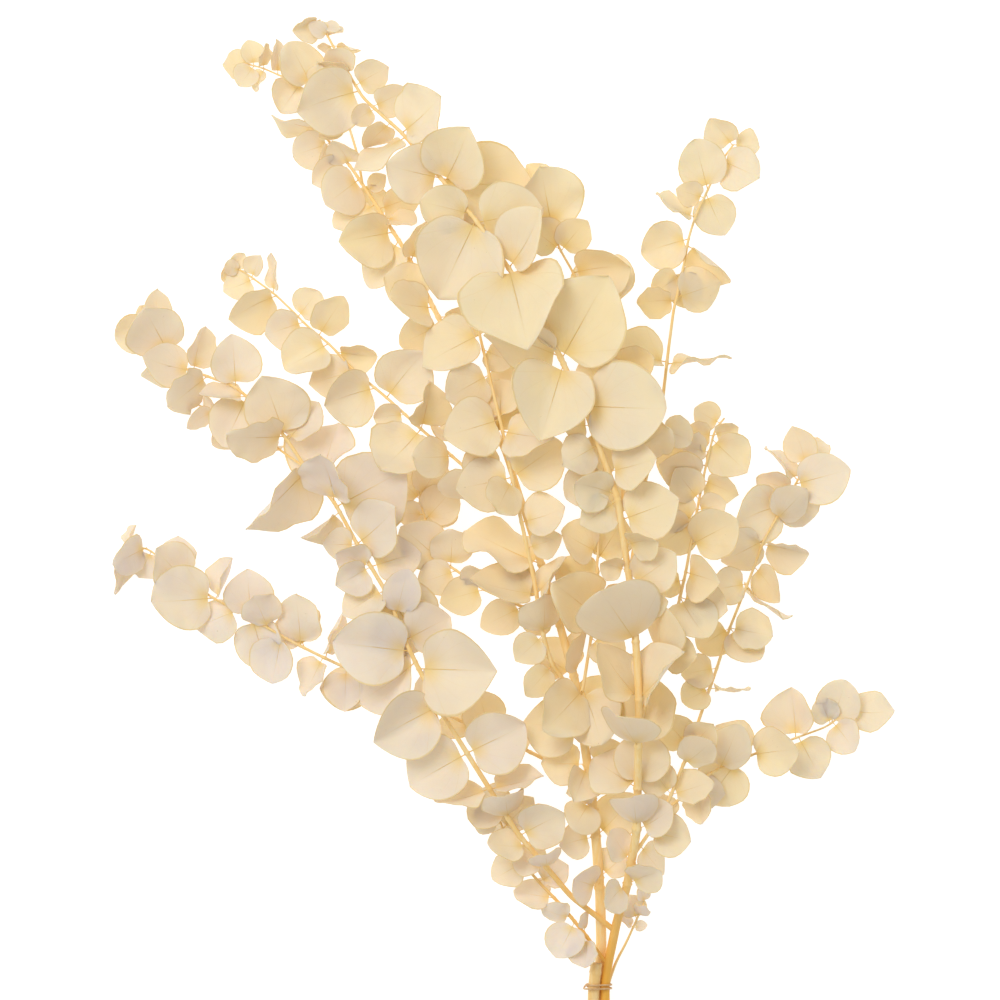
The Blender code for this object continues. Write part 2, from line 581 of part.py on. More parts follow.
def grow_all():
    """Every stem line, and by stem every leaf that found a clear place."""
    stems = {}
    for name, branch in BRANCHES.items():
        stems[name] = Stem(branch, stems.get(branch.parent))
    taken = [(None, stem_guard(stem, BRANCHES[name].sides)) for name, stem in stems.items()]
    leaves = {}
    places = {}
    for order, (name, stem) in enumerate(stems.items()):
        leaves[name], places[name] = grow_by_hand(name, stem, order, taken)
    for order, (name, stem) in enumerate(stems.items()):
        leaves[name] += grow_by_rule(name, stem, order, places[name], taken)
    return stems, leaves


def blade_faces(count, small):
    """Triangles of one face of a blade: vertex 0 is on the midrib, 1 is the root, the rest its rim."""
    root = (1, 2, count)
    if small:
        return [root, (2, 3, 6), (3, 5, 6), (3, 4, 5)]
    return [root] + [(0, k, k + 1 if k < count else 2) for k in range(2, count + 1)]


def blade_mesh(leaf):
    """Thin closed blade with the same triangles on both faces."""
    ring = [leaf.root + leaf.along * leaf.sunk] + leaf.rim()
    count = len(ring)
    small = leaf.length < SMALL_LEAF
    faces = blade_faces(count, small)
    bm = bmesh.new()
    every = [bm.verts.new(p) for p in [leaf.surface(HUB_AT, 0)] + ring]
    for face in faces:
        bm.faces.new([every[i] for i in face])
    bm.normal_update()
    inner = [(v.co.copy(), v.normal.copy()) for v in every]
    bm.clear()
    upper = [bm.verts.new(co + n * BLADE_THICK / 2) for co, n in inner]
    lower = [bm.verts.new(co - n * BLADE_THICK / 2) for co, n in inner]
    for vert in upper + lower:
        vert.co.z = max(vert.co.z, 0.0)
    for face in faces:
        bm.faces.new([upper[i] for i in face])
        bm.faces.new([lower[i] for i in reversed(face)])
    for k in range(1, count + 1):
        after = k % count + 1
        bm.faces.new((upper[k], lower[k], lower[after]))
        bm.faces.new((upper[k], lower[after], upper[after]))
    bmesh.ops.delete(bm, geom=[v for v in bm.verts if not v.link_faces], context="VERTS")
    bmesh.ops.recalc_face_normals(bm, faces=bm.faces)
    return bm


def as_object(name, bm, collection):
    mesh = bpy.data.meshes.new(name)
    bm.to_mesh(mesh)
    bm.free()
    obj = bpy.data.objects.new(name, mesh)
    collection.objects.link(obj)
    return obj


def joined(name, base, pieces, material):
    """One closed body: the base rod with all its pieces fused in, its origin at the rod's cut end."""
    holder = bpy.data.collections.new(name + " pieces")
    bpy.context.scene.collection.children.link(holder)
    for piece in pieces:
        as_object("piece", piece, holder)
    body = as_object(name, base, bpy.context.scene.collection)
    union = body.modifiers.new("fuse", "BOOLEAN")
    union.operation = "UNION"
    union.operand_type = "COLLECTION"
    union.collection = holder
    union.solver = "MANIFOLD"
    bpy.context.view_layer.update()
    fused = bpy.data.meshes.new_from_object(body.evaluated_get(bpy.context.evaluated_depsgraph_get()))
    body.modifiers.clear()
    body.data = fused
    for piece in list(holder.objects):
        bpy.data.objects.remove(piece)
    bpy.data.collections.remove(holder)
    body.data.materials.clear()
    body.data.materials.append(material)
    return body


def set_origin(obj, point):
    """Moves the object's origin to a point without moving its shape."""
    obj.data.transform(Matrix.Translation(-point))
    obj.location = point


def material(name, colour, roughness):
    made = bpy.data.materials.new(name)
    made.use_nodes = True
    shader = made.node_tree.nodes["Principled BSDF"]
    shader.inputs["Base Color"].default_value = colour
    shader.inputs["Roughness"].default_value = roughness
    return made


def leafy_stem(tree, stems, leaves, look):
    """One leafy stem with all its side stems and leaves."""
    rods = [(stems[name], branch) for name, branch in BRANCHES.items() if branch.tree == tree]
    main = next(stem for stem, branch in rods if branch.parent is None)
    bodies = [tube(stem.points, stem.radii, branch.sides) for stem, branch in rods if stem is not main]
    bodies += [blade_mesh(leaf) for name in leaves if BRANCHES[name].tree == tree for leaf in leaves[name]]
    sides = next(branch.sides for stem, branch in rods if stem is main)
    obj = joined(TREE_NAMES[tree], tube(main.points, main.radii, sides), bodies, look)
    set_origin(obj, main.points[0])
    return obj


def cut_stem(look):
    """Bare stem cut off square above its last node ring."""
    points = [on_plan(*p) for p in STUB_ROUTE]
    body = tube(points, [STUB_RADIUS] * len(points), STUB_SIDES)
    foot, top = points[-2], points[-1]
    axis = (top - foot).normalized()
    middle = points[0].lerp(top, STUB_RING_AT)
    ring = tube([middle - axis * STUB_RING_LONG / 2, middle, middle + axis * STUB_RING_LONG / 2],
                [STUB_RADIUS * STUB_RING_FOOT, STUB_RING_RADIUS, STUB_RADIUS * STUB_RING_FOOT], STUB_SIDES)
    obj = joined("cut_stem", body, [ring], look)
    set_origin(obj, points[0])
    return obj


def band_outline(stems):
    """Outline in x and z that hugs the stems where the band goes round them."""
    level = on_plan(0, BAND_Y, 0).y
    around = []
    rods = [(on_plan(*STUB_ROUTE[1]), STUB_RADIUS)]
    for stem in stems.values():
        if stem.points[0].y < level:
            place, _, radius = stem.at(stem.nearest(Vector((stem.points[0].x, level, 0))))
            rods.append((place, radius))
    for place, radius in rods:
        for k in range(BAND_CORNERS):
            turn = 2 * math.pi * k / BAND_CORNERS
            reach = radius + BAND_GAP + BAND_CORD
            around.append((place.x + reach * math.cos(turn), place.z + reach * math.sin(turn)))
    hull = [Vector(around[i]) for i in geometry.convex_hull_2d(around)]
    middle = sum(hull, Vector((0, 0))) / len(hull)
    return level, hull, middle


def hull_reach(hull, middle, turn):
    """Distance from the middle to the outline in a direction."""
    ray = Vector((math.cos(turn), math.sin(turn)))
    for a, b in zip(hull, hull[1:] + hull[:1]):
        edge = b - a
        cross = ray.x * edge.y - ray.y * edge.x
        if abs(cross) < 1e-15:
            continue
        gap = a - middle
        reach = (gap.x * edge.y - gap.y * edge.x) / cross
        share = (gap.x * ray.y - gap.y * ray.x) / cross
        if reach > 0 and -1e-6 <= share <= 1 + 1e-6:
            return reach
    return 0.0


def rubber_band(stems, look):
    """Closed loop of cord that goes round twice and passes over itself once on the left."""
    level, hull, middle = band_outline(stems)
    points = []
    count = BAND_TURNS * BAND_STEPS
    for k in range(count):
        turn = 2 * math.pi * k / BAND_STEPS
        share = k / count
        drift = max(-1.0, min(1.0, BAND_CROSS_STEEP * math.cos(2 * math.pi * share))) * BAND_PITCH / 2
        hop = max(0.0, 1 - abs(share - BAND_HOP_AT) / BAND_HOP_SPREAD)
        reach = hull_reach(hull, middle, turn) + BAND_HOP * min(1.0, 2 * hop)
        points.append(Vector((middle.x + reach * math.cos(turn), level + drift,
                              middle.y + reach * math.sin(turn))))
    bm = tube(points, [BAND_CORD] * count, BAND_SIDES, closed=True)
    obj = as_object("rubber_band", bm, bpy.context.scene.collection)
    obj.data.materials.append(look)
    set_origin(obj, Vector((middle.x, level, middle.y)))
    return obj


def build():
    for obj in list(bpy.data.objects):
        bpy.data.objects.remove(obj)
    stems, leaves = grow_all()
    for tree in TREE_NAMES:
        look = material(TREE_NAMES[tree] + " leaf cream", LEAF_COLOUR, 0.75)
        obj = leafy_stem(tree, stems, leaves, look)
        print(obj.name, len(obj.data.polygons), "faces")
    cut_stem(material("cut stem wood", STEM_COLOUR, 0.7))
    rubber_band(stems, material("rubber band tan", BAND_COLOUR, 0.5))


build()
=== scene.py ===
# %% [markdown]
# A bleached eucalyptus bunch
#
# The real object is a bunch of dried silver dollar eucalyptus. Two thick stems carry many side stems, and
# every stem carries pairs of round cream leaves. A thin shoot and a bare cut stem share the same rubber band.
# The bunch lies on a white table and is seen from straight above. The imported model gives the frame: its nodes
# say where everything is, and the pieces made here take the nodes' places with finer leaves, ribs and bark.

import json
import math
import random

import bmesh
import bpy
from mathutils import Matrix, Vector, geometry, noise
from mathutils.bvhtree import BVHTree

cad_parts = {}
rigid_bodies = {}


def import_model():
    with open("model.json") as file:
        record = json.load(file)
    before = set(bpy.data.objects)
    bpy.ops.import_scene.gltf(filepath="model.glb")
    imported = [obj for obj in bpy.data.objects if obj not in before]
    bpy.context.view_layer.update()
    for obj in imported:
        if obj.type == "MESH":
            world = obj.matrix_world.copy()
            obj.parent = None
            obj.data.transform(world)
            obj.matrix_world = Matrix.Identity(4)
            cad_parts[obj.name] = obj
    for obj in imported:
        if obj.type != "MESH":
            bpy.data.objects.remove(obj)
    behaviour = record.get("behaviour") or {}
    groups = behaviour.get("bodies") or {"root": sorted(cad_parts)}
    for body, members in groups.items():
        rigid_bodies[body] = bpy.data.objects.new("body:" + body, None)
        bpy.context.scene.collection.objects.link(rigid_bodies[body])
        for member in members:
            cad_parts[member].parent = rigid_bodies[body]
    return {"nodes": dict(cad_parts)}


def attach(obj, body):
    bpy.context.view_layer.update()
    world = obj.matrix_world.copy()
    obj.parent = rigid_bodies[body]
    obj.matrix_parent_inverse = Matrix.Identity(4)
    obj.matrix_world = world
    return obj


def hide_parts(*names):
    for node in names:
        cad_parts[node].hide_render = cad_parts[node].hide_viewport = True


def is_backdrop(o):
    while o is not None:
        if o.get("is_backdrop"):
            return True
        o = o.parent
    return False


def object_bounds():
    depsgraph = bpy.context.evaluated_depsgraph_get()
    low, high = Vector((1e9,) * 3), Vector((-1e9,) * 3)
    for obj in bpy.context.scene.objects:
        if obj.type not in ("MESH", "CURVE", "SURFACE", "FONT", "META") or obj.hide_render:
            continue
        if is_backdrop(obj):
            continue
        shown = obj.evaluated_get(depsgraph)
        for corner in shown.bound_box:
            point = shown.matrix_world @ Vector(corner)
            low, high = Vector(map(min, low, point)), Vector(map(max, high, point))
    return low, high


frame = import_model()
cad_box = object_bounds()
print("nodes", sorted(frame["nodes"]))
print("bunch box in metres", [[round(c, 4) for c in corner] for corner in cad_box])

# %% [markdown]
# Sizes and the plan grid
#
# The stems of a lying bunch are easiest to lay out on a plan, as a florist's sketch would show them: so many
# steps to the right, so many steps down, and a height over the table. One step is 0.72 mm. The same values
# made the solids, so a leaf made here lands on the leaf it stands for.

# %% Sizes
MM = 0.001
PLAN_STEP = 0.72 * MM
PLAN_MIDDLE_X = 504.5
PLAN_MIDDLE_Y = 529.05
BUNCH_STEPS = 1030


def on_plan(x, y, height):
    """Point in metres over a plan grid point at a height in mm."""
    return Vector(((x - PLAN_MIDDLE_X) * PLAN_STEP, (PLAN_MIDDLE_Y - y) * PLAN_STEP, height * MM))


print("the bunch covers about", round(BUNCH_STEPS * PLAN_STEP, 3), "m from tip to cut end")

# %% [markdown]
# Camera
#
# The bunch was photographed from straight above through a long lens, so leaves near the top and near the
# table keep the same scale. A camera six metres up with a long lens does the same. The frame is 1000 steps of
# the plan wide at the height where most leaves lie.

# %% Camera
VIEW_STEPS = 1000
VIEW_HEIGHT = 6.0
LEAF_LEVEL = 0.055
SENSOR = 36.0
FAR_CLIP = 50.0


def linked(name, data):
    """A mesh, camera or lamp as an object in the scene."""
    made = bpy.data.objects.new(name, data)
    bpy.context.scene.collection.objects.link(made)
    return made


view = bpy.data.cameras.new("view")
view.sensor_width = SENSOR
view.lens = SENSOR * (VIEW_HEIGHT - LEAF_LEVEL) / (VIEW_STEPS * PLAN_STEP)
view.clip_end = FAR_CLIP
camera = linked("camera", view)
middle = on_plan(VIEW_STEPS / 2, VIEW_STEPS / 2, 0)
camera.location = (middle.x, middle.y, VIEW_HEIGHT)
bpy.context.scene.camera = camera
print("lens", round(view.lens), "mm")

# %% [markdown]
# Table and light
#
# The photograph has a pure white ground and hardly any shadow: a light tent over a light table does that. A
# pale plane that glows a little, a bright even sky and one large soft lamp give the same look, and the light
# from below shines through the thin leaves. Spot lamps would draw hard shadows, which the photograph lacks.

# %% Table and light
WHITE = (1.0, 1.0, 1.0, 1.0)
TABLE_SIZE = 8.0
TABLE_WHITE = (0.45, 0.45, 0.45, 1.0)
TABLE_ROUGH = 0.9
TABLE_GLOW = 0.80
SKY_STRENGTH = 0.585
LAMP_POWER = 57.0
LAMP_SIZE = 1.8
LAMP_AT = (-1.3, 1.5, 3.2)


def plain_material(name, colour, roughness):
    """A material with one shader, and that shader."""
    made = bpy.data.materials.new(name)
    made.use_nodes = True
    shader = made.node_tree.nodes["Principled BSDF"]
    shader.inputs["Base Color"].default_value = colour
    shader.inputs["Roughness"].default_value = roughness
    return made, shader


def mesh_object(bm, name, looks):
    """A finished mesh with its materials as an object in the scene."""
    mesh = bpy.data.meshes.new(name)
    bm.to_mesh(mesh)
    bm.free()
    for look in looks:
        mesh.materials.append(look)
    return linked(name, mesh)


table_look, table_shader = plain_material("table white", TABLE_WHITE, TABLE_ROUGH)
table_shader.inputs["Emission Color"].default_value = WHITE
table_shader.inputs["Emission Strength"].default_value = TABLE_GLOW
table_bm = bmesh.new()
bmesh.ops.create_grid(table_bm, x_segments=1, y_segments=1, size=TABLE_SIZE / 2)
mesh_object(table_bm, "table", [table_look])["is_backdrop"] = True

sky = bpy.data.worlds.new("studio")
sky.use_nodes = True
sky_light = sky.node_tree.nodes["Background"]
sky_light.inputs["Color"].default_value = WHITE
sky_light.inputs["Strength"].default_value = SKY_STRENGTH
bpy.context.scene.world = sky

lamp = bpy.data.lights.new("soft lamp", "AREA")
lamp.energy = LAMP_POWER
lamp.size = LAMP_SIZE
lamp_object = linked("soft lamp", lamp)
lamp_object.location = LAMP_AT
lamp_object.rotation_euler = Vector(LAMP_AT).to_track_quat("Z", "Y").to_euler()
bpy.context.scene.view_settings.view_transform = "Standard"
print("lamp at", LAMP_AT)

# %% [markdown]
# A small kit for node materials
#
# Every finish here is built from a few nodes. These helpers add a node, join it up and hand back its output,
# so that each material below reads from top to bottom like a recipe.

# %% Material helpers
# Where a mix node keeps the share, the two colours and the mixed colour
MIX_SOCKETS = (0, 6, 7)
MIX_RESULT = 2


class Recipe:
    """Adds nodes to one material and joins them up."""

    def __init__(self, name, roughness):
        self.material, self.shader = plain_material(name, WHITE, roughness)
        self.tree = self.material.node_tree

    def put(self, socket, value):
        """A link for another node's output, or a plain value."""
        if hasattr(value, "is_output"):
            self.tree.links.new(value, socket)
        else:
            socket.default_value = value

    def math(self, operation, a, b=0.0, c=0.0, clamp=False):
        """One step of arithmetic."""
        node = self.tree.nodes.new("ShaderNodeMath")
        node.operation = operation
        node.use_clamp = clamp
        for socket, value in zip(node.inputs, (a, b, c)):
            self.put(socket, value)
        return node.outputs[0]

    def times(self, a, b):
        """Product of two values."""
        return self.math("MULTIPLY", a, b)

    def ramp(self, value, low, high, from_value=0.0, to_value=1.0):
        """Smooth step from one value to another as an input passes from low to high."""
        node = self.tree.nodes.new("ShaderNodeMapRange")
        node.interpolation_type = "SMOOTHSTEP"
        for socket, number in zip(node.inputs, (value, low, high, from_value, to_value)):
            self.put(socket, number)
        return node.outputs[0]

    def mix(self, share, a, b):
        """A share of the way from one colour to another."""
        node = self.tree.nodes.new("ShaderNodeMix")
        node.data_type = "RGBA"
        for number, value in zip(MIX_SOCKETS, (share, a, b)):
            self.put(node.inputs[number], value)
        return node.outputs[MIX_RESULT]

    def place(self, stretch=(1, 1, 1)):
        """Object coordinates, stretched."""
        source = self.tree.nodes.new("ShaderNodeTexCoord")
        node = self.tree.nodes.new("ShaderNodeMapping")
        node.inputs["Scale"].default_value = stretch
        self.tree.links.new(source.outputs["Object"], node.inputs["Vector"])
        return node.outputs["Vector"]

    def noise(self, scale, detail, roughness=0.5, stretch=(1, 1, 1)):
        """Noise over the piece, between 0 and 1."""
        node = self.tree.nodes.new("ShaderNodeTexNoise")
        node.inputs["Scale"].default_value = scale
        node.inputs["Detail"].default_value = detail
        node.inputs["Roughness"].default_value = roughness
        self.tree.links.new(self.place(stretch), node.inputs["Vector"])
        return node.outputs["Fac"]

    def split(self, vector):
        """The parts of a vector as three outputs."""
        node = self.tree.nodes.new("ShaderNodeSeparateXYZ")
        self.tree.links.new(vector, node.inputs[0])
        return node.outputs

    def uv(self):
        """The piece's own UV map as two outputs."""
        return self.split(self.tree.nodes.new("ShaderNodeUVMap").outputs["UV"])[:2]

    def attribute(self, name):
        """A number that the mesh carries at each point."""
        node = self.tree.nodes.new("ShaderNodeAttribute")
        node.attribute_name = name
        return node.outputs["Fac"]

    def bump(self, height, distance, strength):
        """Fine relief from a height."""
        node = self.tree.nodes.new("ShaderNodeBump")
        node.inputs["Distance"].default_value = distance
        node.inputs["Strength"].default_value = strength
        self.tree.links.new(height, node.inputs["Height"])
        self.tree.links.new(node.outputs["Normal"], self.shader.inputs["Normal"])

    def finish(self, colour, roughness=None):
        """The material with its colour and roughness joined up."""
        self.put(self.shader.inputs["Base Color"], colour)
        if roughness is not None:
            self.put(self.shader.inputs["Roughness"], roughness)
        return self.material


print("material helpers ready")

# %% [markdown]
# Leaf finish
#
# Bleaching takes the green out and leaves a matt cream blade. Close up it is yellower and faintly orange at
# its foot and along the midrib, paler towards the rim, and golden on the rim itself, with fine ribs that fan
# out from the foot and a few brown specks. Light that comes through the blades makes the gaps glow warm, so
# each gets some subsurface light. Blades low in the heart of the bunch also get a painted golden shade, which
# stands for the warm shade between crowded leaves. A picture of a leaf could be laid on instead, but the same
# picture on 332 leaves would show. The leaf's own UV map says where on the blade a point is, so the ribs
# follow each leaf.

# %% Leaf finish
WARM_CREAM = (0.945, 0.750, 0.465, 1.0)
PALE_CREAM = (0.845, 0.712, 0.615, 1.0)
FOOT_ORANGE = (0.88, 0.58, 0.20, 1.0)
RIB_GOLD = (0.82, 0.55, 0.20, 1.0)
RIM_PALE = (0.93, 0.78, 0.56, 1.0)
RIM_GOLD = (0.80, 0.57, 0.27, 1.0)
UNDER_PALE = (0.845, 0.710, 0.610, 1.0)
UNDER_WARM = (0.915, 0.720, 0.460, 1.0)
SPECK_BROWN = (0.36, 0.22, 0.10, 1.0)
# Painted golden shade for blades low in the heart of the bunch, where the leaves shade each other
PAINTED_SHADE_SHARE = 0.22
PAINTED_SHADE_GOLD = (0.93, 0.66, 0.27, 1.0)
BLADE_ROUGH = 0.62
BLADE_SHINE = 0.32
RIM_ROUGH = 0.7
# How far the tone of a leaf and its mottle turn it from warm to pale
TONE_GAIN = 1.2
TONE_SHIFT = -0.34
MOTTLE_GAIN = 0.4
# Noises: scale, detail and roughness
MOTTLE = (55.0, 4.0)
SPECKS = (420.0, 2.0, 0.7)
GRAIN = (900.0, 2.0)
DENTS = (75.0, 2.0)
RIM_WEAR = (160.0, 3.0)
# Steps: the input where each begins and ends, then its value before and after
PALE_STEP = (0.55, 0.95, 0.0, 0.35)
EDGE_STEP = (0.940, 0.985, 0.0, 0.80)
FOOT_ALONG = (0.0, 0.34, 0.75, 0.0)
FOOT_ACROSS = (0.05, 0.75, 1.0, 0.0)
RIB_LINE = (0.0, 0.13, 1.0, 0.0)
RIB_FADE = (0.15, 0.85, 1.0, 0.15)
MIDRIB_LINE = (0.004, 0.020, 1.0, 0.0)
MIDRIB_FADE = (0.20, 0.92, 1.0, 0.1)
SPECK_STEP = (0.745, 0.80, 0.0, 0.6)
ROUGH_STEP = (0.3, 0.7, 0.56, 0.72)
WEAR_STEP = (0.35, 0.75)
# Ribs: how many, where their fan starts, and how strong they are
FAN_RIBS = 11.0
FAN_START = 0.06
RIB_SHARE = 0.20
MIDRIB_SHARE = 0.55
UNDER_RIBS = 1.25
# Relief: the share of each part, then its depth in metres and its strength
RIB_HEIGHT = 1.4
GRAIN_HEIGHT = 0.25
DENT_HEIGHT = 3.2
BLADE_RELIEF = (0.0004, 0.5)
# Light that comes through
THROUGH_RADIUS = (1.0, 0.62, 0.30)
THROUGH_DEPTH = 0.004
THROUGH_SHARE = 0.35


def let_light_through(shader, share):
    """Some of the light that enters the blade comes out further on."""
    shader.inputs["Subsurface Weight"].default_value = share
    shader.inputs["Subsurface Radius"].default_value = THROUGH_RADIUS
    shader.inputs["Subsurface Scale"].default_value = THROUGH_DEPTH


def blade_finish(name, warm, pale, rib_strength):
    """The cream of one side of a leaf, with ribs, foot, specks and painted golden shade low in the heart."""
    recipe = Recipe(name, BLADE_ROUGH)
    across, along = recipe.uv()
    off_middle = recipe.math("ABSOLUTE", recipe.math("MULTIPLY_ADD", across, 2.0, -1.0))
    mottle = recipe.noise(*MOTTLE)
    tone = recipe.math("MULTIPLY_ADD", recipe.attribute("tone"), TONE_GAIN, TONE_SHIFT)
    colour = recipe.mix(recipe.math("MULTIPLY_ADD", mottle, MOTTLE_GAIN, tone, clamp=True), warm, pale)
    # Painted shade: blades low in the heart turn golden, for the warm shade between crowded leaves
    colour = recipe.mix(recipe.times(recipe.attribute("deep"), PAINTED_SHADE_SHARE), colour, PAINTED_SHADE_GOLD)
    colour = recipe.mix(recipe.ramp(off_middle, *PALE_STEP), colour, RIM_PALE)
    colour = recipe.mix(recipe.ramp(off_middle, *EDGE_STEP), colour, RIM_GOLD)
    foot = recipe.times(recipe.ramp(along, *FOOT_ALONG), recipe.ramp(off_middle, *FOOT_ACROSS))
    colour = recipe.mix(foot, colour, FOOT_ORANGE)
    fan = recipe.math("ARCTAN2", off_middle, recipe.math("ADD", along, FAN_START))
    stripe = recipe.math("ABSOLUTE", recipe.math("SINE", recipe.times(fan, FAN_RIBS)))
    fine = recipe.times(recipe.ramp(stripe, *RIB_LINE), recipe.ramp(along, *RIB_FADE))
    midrib = recipe.times(recipe.ramp(off_middle, *MIDRIB_LINE), recipe.ramp(along, *MIDRIB_FADE))
    ribs = recipe.math("MAXIMUM", recipe.times(fine, RIB_SHARE), recipe.times(midrib, MIDRIB_SHARE))
    colour = recipe.mix(recipe.times(ribs, rib_strength), colour, RIB_GOLD)
    colour = recipe.mix(recipe.ramp(recipe.noise(*SPECKS), *SPECK_STEP), colour, SPECK_BROWN)
    dents = recipe.times(recipe.noise(*DENTS), DENT_HEIGHT)
    height = recipe.math("MULTIPLY_ADD", recipe.noise(*GRAIN), GRAIN_HEIGHT, dents)
    recipe.bump(recipe.math("MULTIPLY_ADD", ribs, RIB_HEIGHT, height), *BLADE_RELIEF)
    let_light_through(recipe.shader, THROUGH_SHARE)
    recipe.shader.inputs["Specular IOR Level"].default_value = BLADE_SHINE
    return recipe.finish(colour, recipe.ramp(mottle, *ROUGH_STEP))


def rim_finish():
    """The thin pale cut of a leaf's edge."""
    recipe = Recipe("leaf rim pale", RIM_ROUGH)
    let_light_through(recipe.shader, THROUGH_SHARE)
    return recipe.finish(recipe.mix(recipe.ramp(recipe.noise(*RIM_WEAR), *WEAR_STEP), RIM_GOLD, WARM_CREAM))


LEAF_LOOKS = [
    blade_finish("leaf upper cream", WARM_CREAM, PALE_CREAM, 1.0),
    blade_finish("leaf under pale", UNDER_WARM, UNDER_PALE, UNDER_RIBS),
    rim_finish(),
]
print("leaf finishes", [look.name for look in LEAF_LOOKS])

# %% [markdown]
# Stem, cut wood and rubber finishes
#
# The bleached bark is golden tan with long streaks, more orange towards the foot of the bunch. A noise that
# is stretched along the stems draws the streaks. The cut ends show pale wood with a darker grain, and the
# band is plain tan rubber with a faint bloom. A photo of bark could be wrapped round the rods, but each would
# have to be unfolded for it.

# %% Stem and band finishes
BARK_GOLD = (0.97, 0.69, 0.27, 1.0)
BARK_LIGHT = (0.98, 0.77, 0.40, 1.0)
BARK_DEEP = (0.88, 0.43, 0.03, 1.0)
STUB_GOLD = (0.90, 0.59, 0.21, 1.0)
STUB_LIGHT = (0.94, 0.69, 0.33, 1.0)
WOOD_PALE = (0.86, 0.70, 0.46, 1.0)
WOOD_PITH = (0.52, 0.32, 0.13, 1.0)
BAND_TAN = (0.66, 0.40, 0.17, 1.0)
BAND_BLOOM = (0.78, 0.56, 0.32, 1.0)
# Where the orange foot of the bunch begins and ends, in metres up the bunch
FOOT_LOW = -0.33
FOOT_TOP = -0.22
FOOT_DEEP = 0.9
# Noises: scale, detail and roughness, and for the bark how far each is squeezed along each axis
STREAKS = (1.0, 5.0, 0.6, (420, 34, 420))
PATCHES = (22.0, 2.0)
PORES = (520.0, 2.0, 0.5, (1, 0.5, 1))
STALK_TINT = (90.0, 3.0)
WOOD_GRAIN = (700.0, 4.0, 0.7)
BLOOM = (260.0, 4.0)
# Steps, as for the leaves
STREAK_STEP = (0.35, 0.70)
PATCH_STEP = (0.50, 0.78, 0.0, 0.25)
PORE_STEP = (0.66, 0.74, 0.0, 0.35)
BARK_ROUGH_STEP = (0.3, 0.7, 0.5, 0.68)
STALK_STEP = (0.3, 0.7)
WOOD_STEP = (0.45, 0.75)
BLOOM_STEP = (0.4, 0.75)
BAND_ROUGH_STEP = (0.3, 0.7, 0.38, 0.6)
# Relief: depth in metres and strength
PORE_HEIGHT = -0.6
BARK_RELIEF = (0.0006, 0.6)
WOOD_RELIEF = (0.0003, 0.7)
BAND_RELIEF = (0.0002, 0.4)
BARK_ROUGH = 0.6
STALK_ROUGH = 0.55
STALK_THROUGH = 0.15
WOOD_ROUGH = 0.8
BAND_ROUGH = 0.45


def bark_finish(name, base, light, deep, foot_share=0.0):
    """Long streaks, darker patches, fine pores and a deeper colour at the foot."""
    recipe = Recipe(name, BARK_ROUGH)
    streak = recipe.noise(*STREAKS)
    colour = recipe.mix(recipe.ramp(streak, *STREAK_STEP), base, light)
    colour = recipe.mix(recipe.ramp(recipe.noise(*PATCHES), *PATCH_STEP), colour, deep)
    up_the_bunch = recipe.split(recipe.place())[1]
    colour = recipe.mix(recipe.ramp(up_the_bunch, FOOT_LOW, FOOT_TOP, foot_share, 0.0), colour, deep)
    pores = recipe.ramp(recipe.noise(*PORES), *PORE_STEP)
    recipe.bump(recipe.math("MULTIPLY_ADD", pores, PORE_HEIGHT, streak), *BARK_RELIEF)
    return recipe.finish(recipe.mix(pores, colour, deep), recipe.ramp(streak, *BARK_ROUGH_STEP))


def stalk_finish():
    """The gold of stalks and midribs."""
    recipe = Recipe("leaf stalk gold", STALK_ROUGH)
    let_light_through(recipe.shader, STALK_THROUGH)
    tint = recipe.ramp(recipe.noise(*STALK_TINT), *STALK_STEP)
    return recipe.finish(recipe.mix(tint, RIB_GOLD, FOOT_ORANGE))


def cut_wood_finish():
    """Pale wood with darker grain."""
    recipe = Recipe("cut wood pale", WOOD_ROUGH)
    grain = recipe.noise(*WOOD_GRAIN)
    recipe.bump(grain, *WOOD_RELIEF)
    return recipe.finish(recipe.mix(recipe.ramp(grain, *WOOD_STEP), WOOD_PALE, WOOD_PITH))


def band_finish():
    """Tan rubber with a faint bloom."""
    recipe = Recipe("band tan rubber", BAND_ROUGH)
    bloom = recipe.noise(*BLOOM)
    recipe.bump(bloom, *BAND_RELIEF)
    colour = recipe.mix(recipe.ramp(bloom, *BLOOM_STEP), BAND_TAN, BAND_BLOOM)
    return recipe.finish(colour, recipe.ramp(bloom, *BAND_ROUGH_STEP))


BARK = bark_finish("stem bark gold", BARK_GOLD, BARK_LIGHT, BARK_DEEP)
BARK_ORANGE = bark_finish("stem bark orange", BARK_GOLD, BARK_LIGHT, BARK_DEEP, FOOT_DEEP)
BARK_PALE = bark_finish("cut stem bark", STUB_GOLD, STUB_LIGHT, BARK_GOLD)
STALK = stalk_finish()
CUT_WOOD = cut_wood_finish()
BAND_RUBBER = band_finish()
print("stem and band finishes ready")

# %% [markdown]
# Where the stems run
#
# A real branch grows by rules, but this bunch also has a shape of its own: which side stem leaves where, how
# it arches, and which leaves stick out. So each stem has a route of listed points, a thickness, a rule for
# the size of its leaves, and a short list of the leaves that give its outline. The rest follow the rule.

# %% Stem routes
SIDE_SIDES = 4
MAIN_SIDES = 6


class Branch:
    """A stem or side stem: its route on the plan grid with heights in mm, and the rule for its leaves."""

    def __init__(self, tree, parent, route, thick, leafy, turn, key=(), sides=SIDE_SIDES):
        self.tree = tree
        self.parent = parent
        self.route = route
        self.thick = thick
        self.leafy = leafy
        self.turn = turn
        self.key = key
        self.sides = sides


